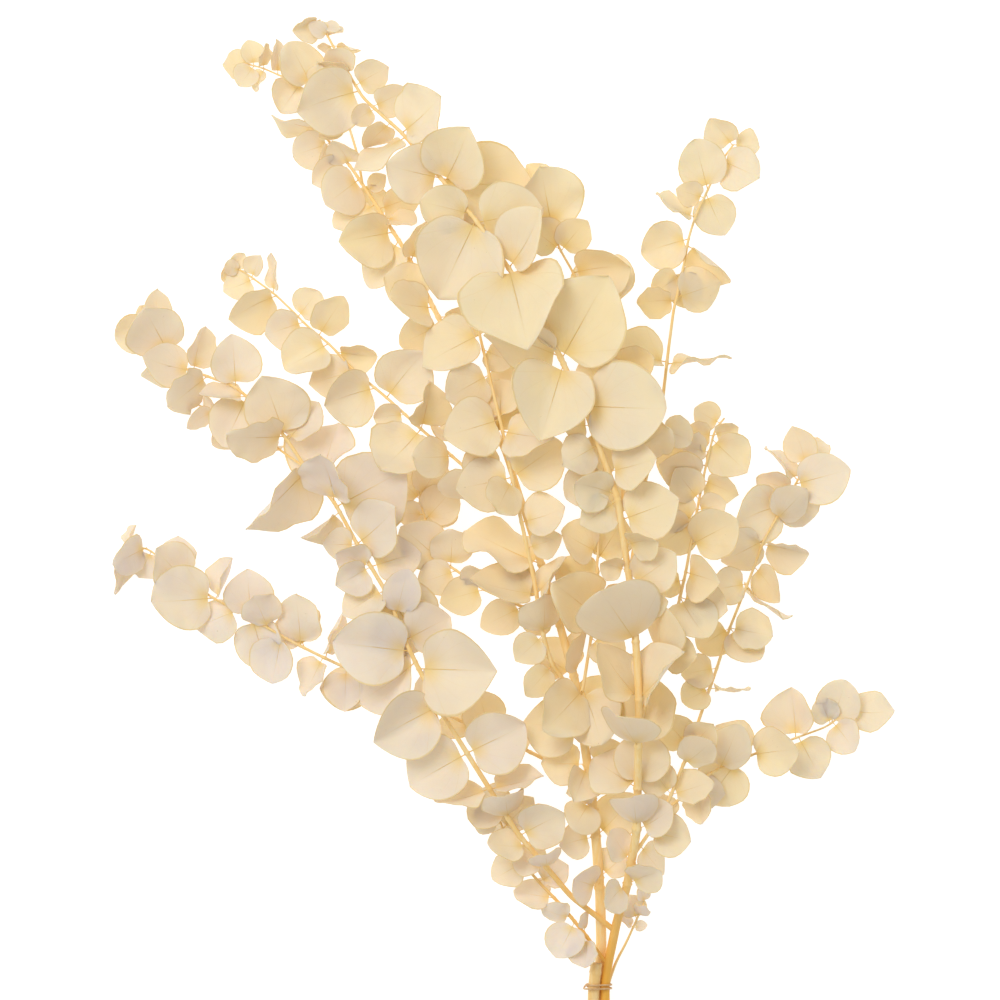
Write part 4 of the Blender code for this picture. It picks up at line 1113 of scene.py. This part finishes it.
def grow_by_rule(name, stem, order, places, taken):
    """Pairs of leaves along a stem wherever there is room for them."""
    branch = BRANCHES[name]
    rng = random.Random(RULE_SEED + order)
    grown = []
    start = branch.leafy[0] * stem.length
    distance = start
    step = 0
    while distance < stem.length:
        length = leaf_length(branch, (distance - start) / (stem.length - start))
        near = sum(abs(distance - place) < NEAR_SHARE * length for place in places)
        for leaf in pair_leaves(stem, branch, distance, step, length, rng):
            if near >= PAIR_MOST:
                continue
            near += 1
            if crowd(leaf, taken) >= CROWD_LIMIT:
                continue
            found = settled(leaf, (name, step), taken, RULE_SWINGS)
            if found:
                grown.append(found[0])
                taken.append(((name, step), found[1]))
        distance += PAIR_SPACING * length * rng.uniform(*SPACING_LOOSE)
        step += 1
    return grown


taken = [(None, stem_guard(stem, BRANCHES[name].sides)) for name, stem in stems.items()]
leaves = {}
places = {}
for order, (name, stem) in enumerate(stems.items()):
    leaves[name], places[name] = grow_by_hand(name, stem, order, taken)
for order, (name, stem) in enumerate(stems.items()):
    leaves[name] += grow_by_rule(name, stem, order, places[name], taken)
counts = {name: len(found) for name, found in leaves.items()}
print("leaves", sum(counts.values()), counts)

# %% [markdown]
# A rounder blade
#
# The solids have plain fans for blades. A real one has a full round foot, a pointed tip, a frilled rim and a
# midrib that lies in a groove, and no two are alike. Each leaf draws its own values for these. Its tone comes
# from its place: paler far out and low down. Deep in the heart it also gets a painted golden shade for the
# warm shade between crowded leaves. A lattice could bend copies of one leaf, but a second formula on top of
# the first keeps each leaf on the one it stands for.

# %% Finer leaf shape
# Cuts across and along the blade, by the size of the leaf
LARGE_LEAF = 40 * MM
LARGE_CUTS = (8, 16)
MIDDLE_CUTS = (6, 12)
SMALL_CUTS = (4, 10)
FOOT_SHARE = 0.22
FOOT_POWER = 0.52
FULLER = 1.05
# Ranges that each finished blade draws from
POINTS = (0.60, 1.0)
LEANS = (-0.07, 0.07)
CREASES = (-0.04, 0.15)
DROOPS = (-0.12, 0.12)
FRILLS = (0.011, 0.046)
FRILL_COUNTS = (1.4, 3.4)
GROOVE = 0.010
GROOVE_WIDE = 0.22
GROOVE_END = 0.77
CURLS = (-0.30, 0.18)
CURL_FROM = 0.6
LEAST_WIDE = 0.001
# The heart of the bunch, how the tone falls off away from it and down the stems, and the height under which
# blades get painted golden shade
HEART_LOW = on_plan(635, 660, 60)
HEART_TOP = on_plan(560, 330, 60)
OUTER_REACH = 265 * PLAN_STEP
PALE_FROM = on_plan(0, 300, 0).y
PALE_FALL = 400 * PLAN_STEP
PALE_LEAST = 0.45
OUTER_SHARE = 0.68
HEART_HIGH = 95 * MM


def round_width(u, point):
    """Half width of the blade with the full round foot and the pointed tip of the real outline."""
    if u >= WIDEST_AT:
        t = (u - WIDEST_AT) / (1 - WIDEST_AT)
        return max(0.0, 1 - t * t) ** point
    rise = 1 - (1 - u / WIDEST_AT) ** 2
    return FOOT_SHARE + (1 - FOOT_SHARE) * rise ** FOOT_POWER


class Finish:
    """What makes one blade unlike its neighbours: paler far out and low down, painted golden shade in the
    heart.
    """

    def __init__(self, leaf, rng):
        share = max(0.0, min(1.0, geometry.intersect_point_line(leaf.root, HEART_LOW, HEART_TOP)[1]))
        outer = min(1.0, (leaf.root - HEART_LOW.lerp(HEART_TOP, share)).length / OUTER_REACH)
        low = max(PALE_LEAST, min(1.0, PALE_LEAST + (PALE_FROM - leaf.root.y) / PALE_FALL))
        self.tone = OUTER_SHARE * outer * low + (1 - OUTER_SHARE) * rng.random()
        # deep is the share of painted golden shade: most for low blades in the heart, where leaves shade each
        # other
        self.deep = (1 - outer) * max(0.0, 1 - leaf.root.z / HEART_HIGH)
        self.crease = rng.uniform(*CREASES)
        self.droop = rng.uniform(*DROOPS)
        self.point = rng.uniform(*POINTS)
        self.lean = rng.uniform(*LEANS)
        self.frill = rng.uniform(*FRILLS)
        self.count = rng.uniform(*FRILL_COUNTS)
        self.curl = rng.uniform(*CURLS)
        self.phase = rng.uniform(0, 2 * math.pi)
        self.calm = 1.0
        self.fuller = FULLER


def fine_point(leaf, finish, u, v):
    """Point on the finished blade."""
    lean = 1 + finish.calm * finish.lean * v
    wide = finish.fuller * v * lean * round_width(u, finish.point) / max(half_width(u), LEAST_WIDE)
    point = leaf.surface(u, wide)
    ripple = v * v * math.sin(2 * math.pi * finish.count * u + finish.phase + v)
    groove = max(0.0, 1 - abs(v) / GROOVE_WIDE) * math.sin(math.pi * min(1.0, u / GROOVE_END))
    bend = (finish.crease * abs(v) + finish.droop * v * abs(v)) * math.sin(math.pi * u)
    tip = max(0.0, u - CURL_FROM) ** 2
    rise = leaf.width * (finish.frill * ripple + bend - GROOVE * groove) + leaf.length * finish.curl * tip
    point += leaf.face * rise * finish.calm
    point.z = max(point.z, FLOOR_LIFT)
    return point


print("foot width", round(round_width(0.0, TIP_POWER), 2), "instead of", round(half_width(0.0), 2))

# %% [markdown]
# Calm blades where they lie close
#
# A bent and frilled blade could cut through its neighbour, which the plain solids were kept clear of. So a
# coarse net is laid over every blade while it is still calm. Then each blade in turn gets as much bend and
# frill as its neighbours leave room for. Moving the leaf would be simpler, but then it would leave the leaf
# of the solids that it stands for. A step of calm is the share of bend and frill that a blade keeps, and the
# share of its width.

# %% Calm blades
CALM_STEPS = ((1.0, FULLER), (0.6, 1.03), (0.3, 1.01), (0.0, 1.0), (0.0, 0.92), (0.0, 0.84))
CALMEST = (0.0, 0.96)
FINISH_SEED = 500
PAIR_REACH = 5 * MM
NET_ROWS = (0.10, 0.22, 0.34, 0.46, 0.58, 0.70, 0.82, 0.93)
NET_COLUMNS = (-1.0, -0.65, -0.3, 0.0, 0.3, 0.65, 1.0)


def blade_net(leaf, finish):
    """Search tree of a coarse net over the finished blade."""
    verts = [fine_point(leaf, finish, u, v) for u in NET_ROWS for v in NET_COLUMNS]
    wide = len(NET_COLUMNS)
    faces = [(k, k + 1, k + 1 + wide, k + wide) for k in range(len(verts) - wide) if (k + 1) % wide]
    return *box_round(verts), BVHTree.FromPolygons(verts, faces)


def calmed(place, grown, nets):
    """Gives one blade as much bend, frill and width as leaves it clear of all others."""
    leaf, finish = grown[place]
    others = [net for k, net in enumerate(nets) if (grown[k][0].root - leaf.root).length > PAIR_REACH]
    for step in CALM_STEPS:
        finish.calm, finish.fuller = step
        nets[place] = blade_net(leaf, finish)
        if not meets(nets[place], others):
            break
    return step


finishes = {}
for order, (name, found) in enumerate(leaves.items()):
    rng = random.Random(FINISH_SEED + order)
    finishes[name] = [Finish(leaf, rng) for leaf in found]
grown = [pair for name, found in leaves.items() for pair in zip(found, finishes[name])]
for leaf, finish in grown:
    finish.calm, finish.fuller = CALMEST
nets = [blade_net(leaf, finish) for leaf, finish in grown]
calms = [calmed(place, grown, nets) for place in range(len(grown))]
print("blades at each step of calm", [calms.count(step) for step in CALM_STEPS])

# %% [markdown]
# Leaf blades as meshes
#
# Each blade starts as a flat grid with its own UV map. Every grid point is moved to its place by the
# leaf's formula, and the row at the tip is merged to a point. A Solidify modifier then gives all blades their
# thickness at once and puts the pale finish on the underside and the rim, which saves modelling both sides.

# %% Blade meshes
DRY_THICK = 0.45 * MM
TIP_MERGE = 0.02 * MM


def add_blade(bm, leaf, finish, uv_layer, tone_layer, painted_shade_layer):
    """One leaf's middle surface, added to the leaves of its stem."""
    across, along = MIDDLE_CUTS
    if leaf.length < SMALL_LEAF:
        across, along = SMALL_CUTS
    elif leaf.length > LARGE_LEAF:
        across, along = LARGE_CUTS
    made = bmesh.ops.create_grid(bm, x_segments=across, y_segments=along, size=0.5)
    for vert in made["verts"]:
        vert.co.y = (1 - math.cos(math.pi * (vert.co.y + 0.5))) / 2
    for face in {face for vert in made["verts"] for face in vert.link_faces}:
        for loop in face.loops:
            loop[uv_layer].uv = (0.5 - loop.vert.co.x, loop.vert.co.y)
    for vert in made["verts"]:
        vert[tone_layer] = finish.tone
        # Each point carries its blade's share of painted golden shade
        vert[painted_shade_layer] = finish.deep
        vert.co = fine_point(leaf, finish, min(1.0, vert.co.y), -2 * vert.co.x)


def as_piece(bm, name, looks, node):
    """A finished mesh as a piece that takes the place of a node."""
    piece = mesh_object(bm, name, looks)
    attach(piece, "root")
    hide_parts(node)
    return piece


def leaf_piece(name, found, styles, node):
    """All leaves of one stem as one piece."""
    bm = bmesh.new()
    uv_layer = bm.loops.layers.uv.new("UVMap")
    tone_layer = bm.verts.layers.float.new("tone")
    # deep: each point's share of painted golden shade
    painted_shade_layer = bm.verts.layers.float.new("deep")
    for leaf, finish in zip(found, styles):
        add_blade(bm, leaf, finish, uv_layer, tone_layer, painted_shade_layer)
    bmesh.ops.remove_doubles(bm, verts=bm.verts, dist=TIP_MERGE)
    for face in bm.faces:
        face.smooth = True
    for edge in bm.edges:
        edge.smooth = not edge.is_boundary
    piece = as_piece(bm, name, LEAF_LOOKS, node)
    wall = piece.modifiers.new("blade thickness", "SOLIDIFY")
    wall.thickness = DRY_THICK
    wall.offset = 0.0
    wall.material_offset = 1
    wall.material_offset_rim = 2
    return piece


print("blades are", DRY_THICK * 1000, "mm thick")

# %% The leaves of each stem
for name, found in leaves.items():
    piece_name = name.replace(" ", "_") + "_leaves"
    piece = leaf_piece(piece_name, found, finishes[name], TREE_NAMES[BRANCHES[name].tree])
    print(piece_name, len(found), "leaves", len(piece.data.polygons), "faces")

# %% [markdown]
# Stems, stalks and midribs
#
# The stems are thin rods that swell a little where each pair of leaves sits. The stalk of a leaf runs on into
# its midrib, which stands a hair proud of the blade. Both are curves with a radius at each point: a curve is
# quick to lay along a route, and it becomes a mesh with closed ends.

# %% Stem and stalk rods
STEM_ROUND = 10
STALK_ROUND = 6
RING_SPACING = 4.5 * MM
CORNER_REACH = 5 * MM
SWAY = 0.25 * MM
SWAY_SCALE = 38.0
SWAY_SEED = 12
JOINT_SWELL = 0.20
JOINT_LONG = 1.6 * MM
STALK_FOOT = 0.46 * MM
STALK_TIP = 0.07 * MM
STALK_THINNING = 1.3
STALK_STOPS = (0.0, 0.06, 0.16, 0.30, 0.45)
STALK_FULL = 42 * MM
STALK_LEAST = 0.6


def soft_place(stem, mark):
    """Place on the stem line with its corners rounded and a slight sway."""
    reach = min(CORNER_REACH, mark, stem.length - mark)
    before, here, after = (stem.at(mark + shift)[0] for shift in (-reach, 0.0, reach))
    sway = noise.noise_vector(here * SWAY_SCALE) * SWAY * reach / CORNER_REACH
    return (before + 2 * here + after) / 4 + sway


def stem_rod(stem, joints):
    """Rod that swells a little at each joint."""
    count = max(2, round(stem.length / RING_SPACING))
    marks = {stem.length * k / count for k in range(count + 1)}
    for joint in joints:
        marks.update({joint - JOINT_LONG, joint, joint + JOINT_LONG})
    marks = sorted(mark for mark in marks if 0 <= mark <= stem.length)
    radii = []
    for mark in marks:
        close = min((abs(mark - joint) for joint in joints), default=stem.length)
        radii.append(stem.at(mark)[2] * (1 + JOINT_SWELL * max(0.0, 1 - close / JOINT_LONG)))
    return tube([soft_place(stem, mark) for mark in marks], radii, STEM_ROUND)


def stalk_rod(leaf):
    """Stalk and midrib of one leaf."""
    share = max(STALK_LEAST, min(1.0, leaf.length / STALK_FULL))
    points = [leaf.root] + [leaf.surface(u, 0) for u in STALK_STOPS]
    steps = len(points) - 1
    radii = [share * (STALK_FOOT * (1 - k / steps) ** STALK_THINNING + STALK_TIP) for k in range(steps + 1)]
    return tube(points, radii, STALK_ROUND)


noise.seed_set(SWAY_SEED)
print("stem rings every", RING_SPACING * 1000, "mm")

# %% [markdown]
# Cut ends, and all rods of a stem as one piece
#
# The stems were cut with a blade, which leaves a worn rim and a slightly sunk face of pale wood. Two insets
# of the end face make that. The rods of one stem are then gathered in one mesh with a finish for bark, stalks
# and wood. They could stay apart, but one piece is easier to handle and to put in the place of its solid.

# %% Join the rods
WOOD = 2
CUT_RIM = 0.35 * MM
CUT_STEP = 0.9 * MM
CUT_DEPTH = 0.25 * MM


def trim_end(bm, point):
    """Cut end nearest to a point: a worn rim, pale wood and a sunk pith."""
    end = min(bm.faces, key=lambda face: (face.calc_center_median() - point).length)
    end.material_index = WOOD
    bmesh.ops.inset_individual(bm, faces=[end], thickness=CUT_RIM, depth=CUT_DEPTH)
    bmesh.ops.inset_individual(bm, faces=[end], thickness=CUT_STEP, depth=-CUT_DEPTH)
    for face in {face for edge in end.edges for face in edge.link_faces}:
        face.material_index = WOOD


def gather(name, rods, looks, node):
    """Rods as one piece. Each rod comes with the number of its finish."""
    whole = bmesh.new()
    for rod, look in rods:
        for face in rod.faces:
            face.smooth = len(face.verts) < STALK_ROUND
            face.material_index = max(face.material_index, look)
        part = bpy.data.meshes.new("rod")
        rod.to_mesh(part)
        rod.free()
        whole.from_mesh(part)
        bpy.data.meshes.remove(part)
    return as_piece(whole, name, looks, node)


def tree_rods(tree):
    """Every stem and stalk of one tree."""
    rods = []
    for name, branch in BRANCHES.items():
        if branch.tree != tree:
            continue
        stem = stems[name]
        rod = stem_rod(stem, sorted({round(stem.nearest(leaf.root), 4) for leaf in leaves[name]}))
        if branch.parent is None:
            trim_end(rod, stem.points[0])
        rods.append((rod, 0))
        rods += [(stalk_rod(leaf), 1) for leaf in leaves[name]]
    return rods


for tree, node in TREE_NAMES.items():
    bark = BARK_ORANGE if node == "right_leafy_stem" else BARK
    piece = gather(node + "_bark", tree_rods(tree), [bark, STALK, CUT_WOOD], node)
    print(piece.name, len(piece.data.polygons), "faces")

# %% [markdown]
# The bare cut stem
#
# One stem in the bunch was cut off square just above a joint, which left a raised ring. It is the same rod as
# the others with a bump in its radius where the ring is, and both ends get the trimmed cut.

# %% Cut stem
STUB_ROUTE = [(592.6, 1042, 12.9), (594.6, 990, 15.1), (597, 966, 17.6)]
STUB_RADIUS = 4.2 * MM
STUB_RING_RADIUS = 4.7 * MM
STUB_RING_AT = 0.88
STUB_RING_LONG = 2.4 * MM
STUB_ROUND = 16
STUB_RINGS = 40
STUB_GRAIN = 0.12 * MM
STUB_GRAIN_SCALE = 160
STUB_THICK = (8.4, 8.4)
BARE = (0, 0, 0, 0)

stub_points = [on_plan(*point) for point in STUB_ROUTE]
stub_line = Stem(Branch("cut", None, STUB_ROUTE, STUB_THICK, BARE, 0), None)
ring_at = (stub_points[-1] - stub_points[0]).length * STUB_RING_AT
marks = [stub_line.length * k / STUB_RINGS for k in range(STUB_RINGS + 1)]
radii = []
for mark in marks:
    bump = max(0.0, 1 - abs(mark - ring_at) / (STUB_RING_LONG / 2))
    radii.append(STUB_RADIUS + (STUB_RING_RADIUS - STUB_RADIUS) * math.sqrt(bump))
stub_rod = tube([soft_place(stub_line, mark) for mark in marks], radii, STUB_ROUND)
for vert in stub_rod.verts:
    vert.co += vert.normal * noise.noise(vert.co * STUB_GRAIN_SCALE) * STUB_GRAIN
for end in (stub_points[0], stub_points[-1]):
    trim_end(stub_rod, end)
stub = gather("cut_stem_bark", [(stub_rod, 0)], [BARK_PALE, STALK, CUT_WOOD], "cut_stem")
print(stub.name, len(stub.data.polygons), "faces")

# %% [markdown]
# The rubber band
#
# An ordinary band, wound twice round the stems. Its cord follows the stems' outline and passes over itself
# once. It is the same rod as a stem, laid along a closed line.

# %% Rubber band
BAND_Y = 990
BAND_CORD = 0.8 * MM
BAND_GAP = 0.5 * MM
BAND_TURNS = 2
BAND_PITCH = 2.6 * MM
BAND_CROSS_STEEP = 4.0
BAND_HOP = 2.1 * MM
BAND_HOP_AT = 0.75
BAND_HOP_SPREAD = 0.12
BAND_CORNERS = 24
PARALLEL = 1e-15
EDGE_SLACK = 1e-6


def band_outline(stems):
    """Outline in x and z that hugs the stems where the band goes round them."""
    level = on_plan(0, BAND_Y, 0).y
    around = []
    rods = [(on_plan(*STUB_ROUTE[1]), STUB_RADIUS)]
    for stem in stems.values():
        if stem.points[0].y < level:
            place, _, radius = stem.at(stem.nearest(Vector((stem.points[0].x, level, 0))))
            rods.append((place, radius))
    for place, radius in rods:
        for k in range(BAND_CORNERS):
            turn = 2 * math.pi * k / BAND_CORNERS
            reach = radius + BAND_GAP + BAND_CORD
            around.append((place.x + reach * math.cos(turn), place.z + reach * math.sin(turn)))
    hull = [Vector(around[i]) for i in geometry.convex_hull_2d(around)]
    middle = sum(hull, Vector((0, 0))) / len(hull)
    return level, hull, middle


def hull_reach(hull, middle, turn):
    """Distance from the middle to the outline in a direction."""
    ray = Vector((math.cos(turn), math.sin(turn)))
    for a, b in zip(hull, hull[1:] + hull[:1]):
        edge = b - a
        cross = ray.x * edge.y - ray.y * edge.x
        if abs(cross) < PARALLEL:
            continue
        gap = a - middle
        reach = (gap.x * edge.y - gap.y * edge.x) / cross
        share = (gap.x * ray.y - gap.y * ray.x) / cross
        if reach > 0 and -EDGE_SLACK <= share <= 1 + EDGE_SLACK:
            return reach
    return 0.0


band_level, band_hull, band_middle = band_outline(stems)
print("band is", round(band_middle.y * 1000, 1), "mm over the table")

# %% [markdown]
# The cord of the band
#
# The cord runs twice round the outline of the four stems, drifts from one turn's level to the other's, and
# lifts where it passes over itself. A torus would be quicker, but it would stand off the stems.

# %% Band loop
CORD_STEPS = 72
CORD_ROUND = 8
CORD_FLAT = 0.86

count = BAND_TURNS * CORD_STEPS
loop_points = []
for k in range(count):
    turn = 2 * math.pi * k / CORD_STEPS
    share = k / count
    drift = max(-1.0, min(1.0, BAND_CROSS_STEEP * math.cos(2 * math.pi * share))) * BAND_PITCH / 2
    hop = max(0.0, 1 - abs(share - BAND_HOP_AT) / BAND_HOP_SPREAD)
    reach = hull_reach(band_hull, band_middle, turn) + BAND_HOP * min(1.0, 2 * hop)
    loop_points.append(Vector((band_middle.x + reach * math.cos(turn), band_level + drift,
                               band_middle.y + reach * math.sin(turn))))
cord = tube(loop_points, [BAND_CORD * CORD_FLAT] * count, CORD_ROUND, closed=True)
band = gather("rubber_band_loop", [(cord, 0)], [BAND_RUBBER], "rubber_band")
print(band.name, len(band.data.polygons), "faces")

# %% [markdown]
# Sizes
#
# The box round the finished pieces is worked out and printed, as the solids' box was at the start. The
# finished pieces have to stay within the solids' box.

# %% Finish
scene_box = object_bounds()
boxes = {"cad": cad_box, "scene": scene_box}
{label: [list(corner) for corner in box] for label, box in boxes.items()}
print("finished box", [[round(c, 4) for c in corner] for corner in scene_box])
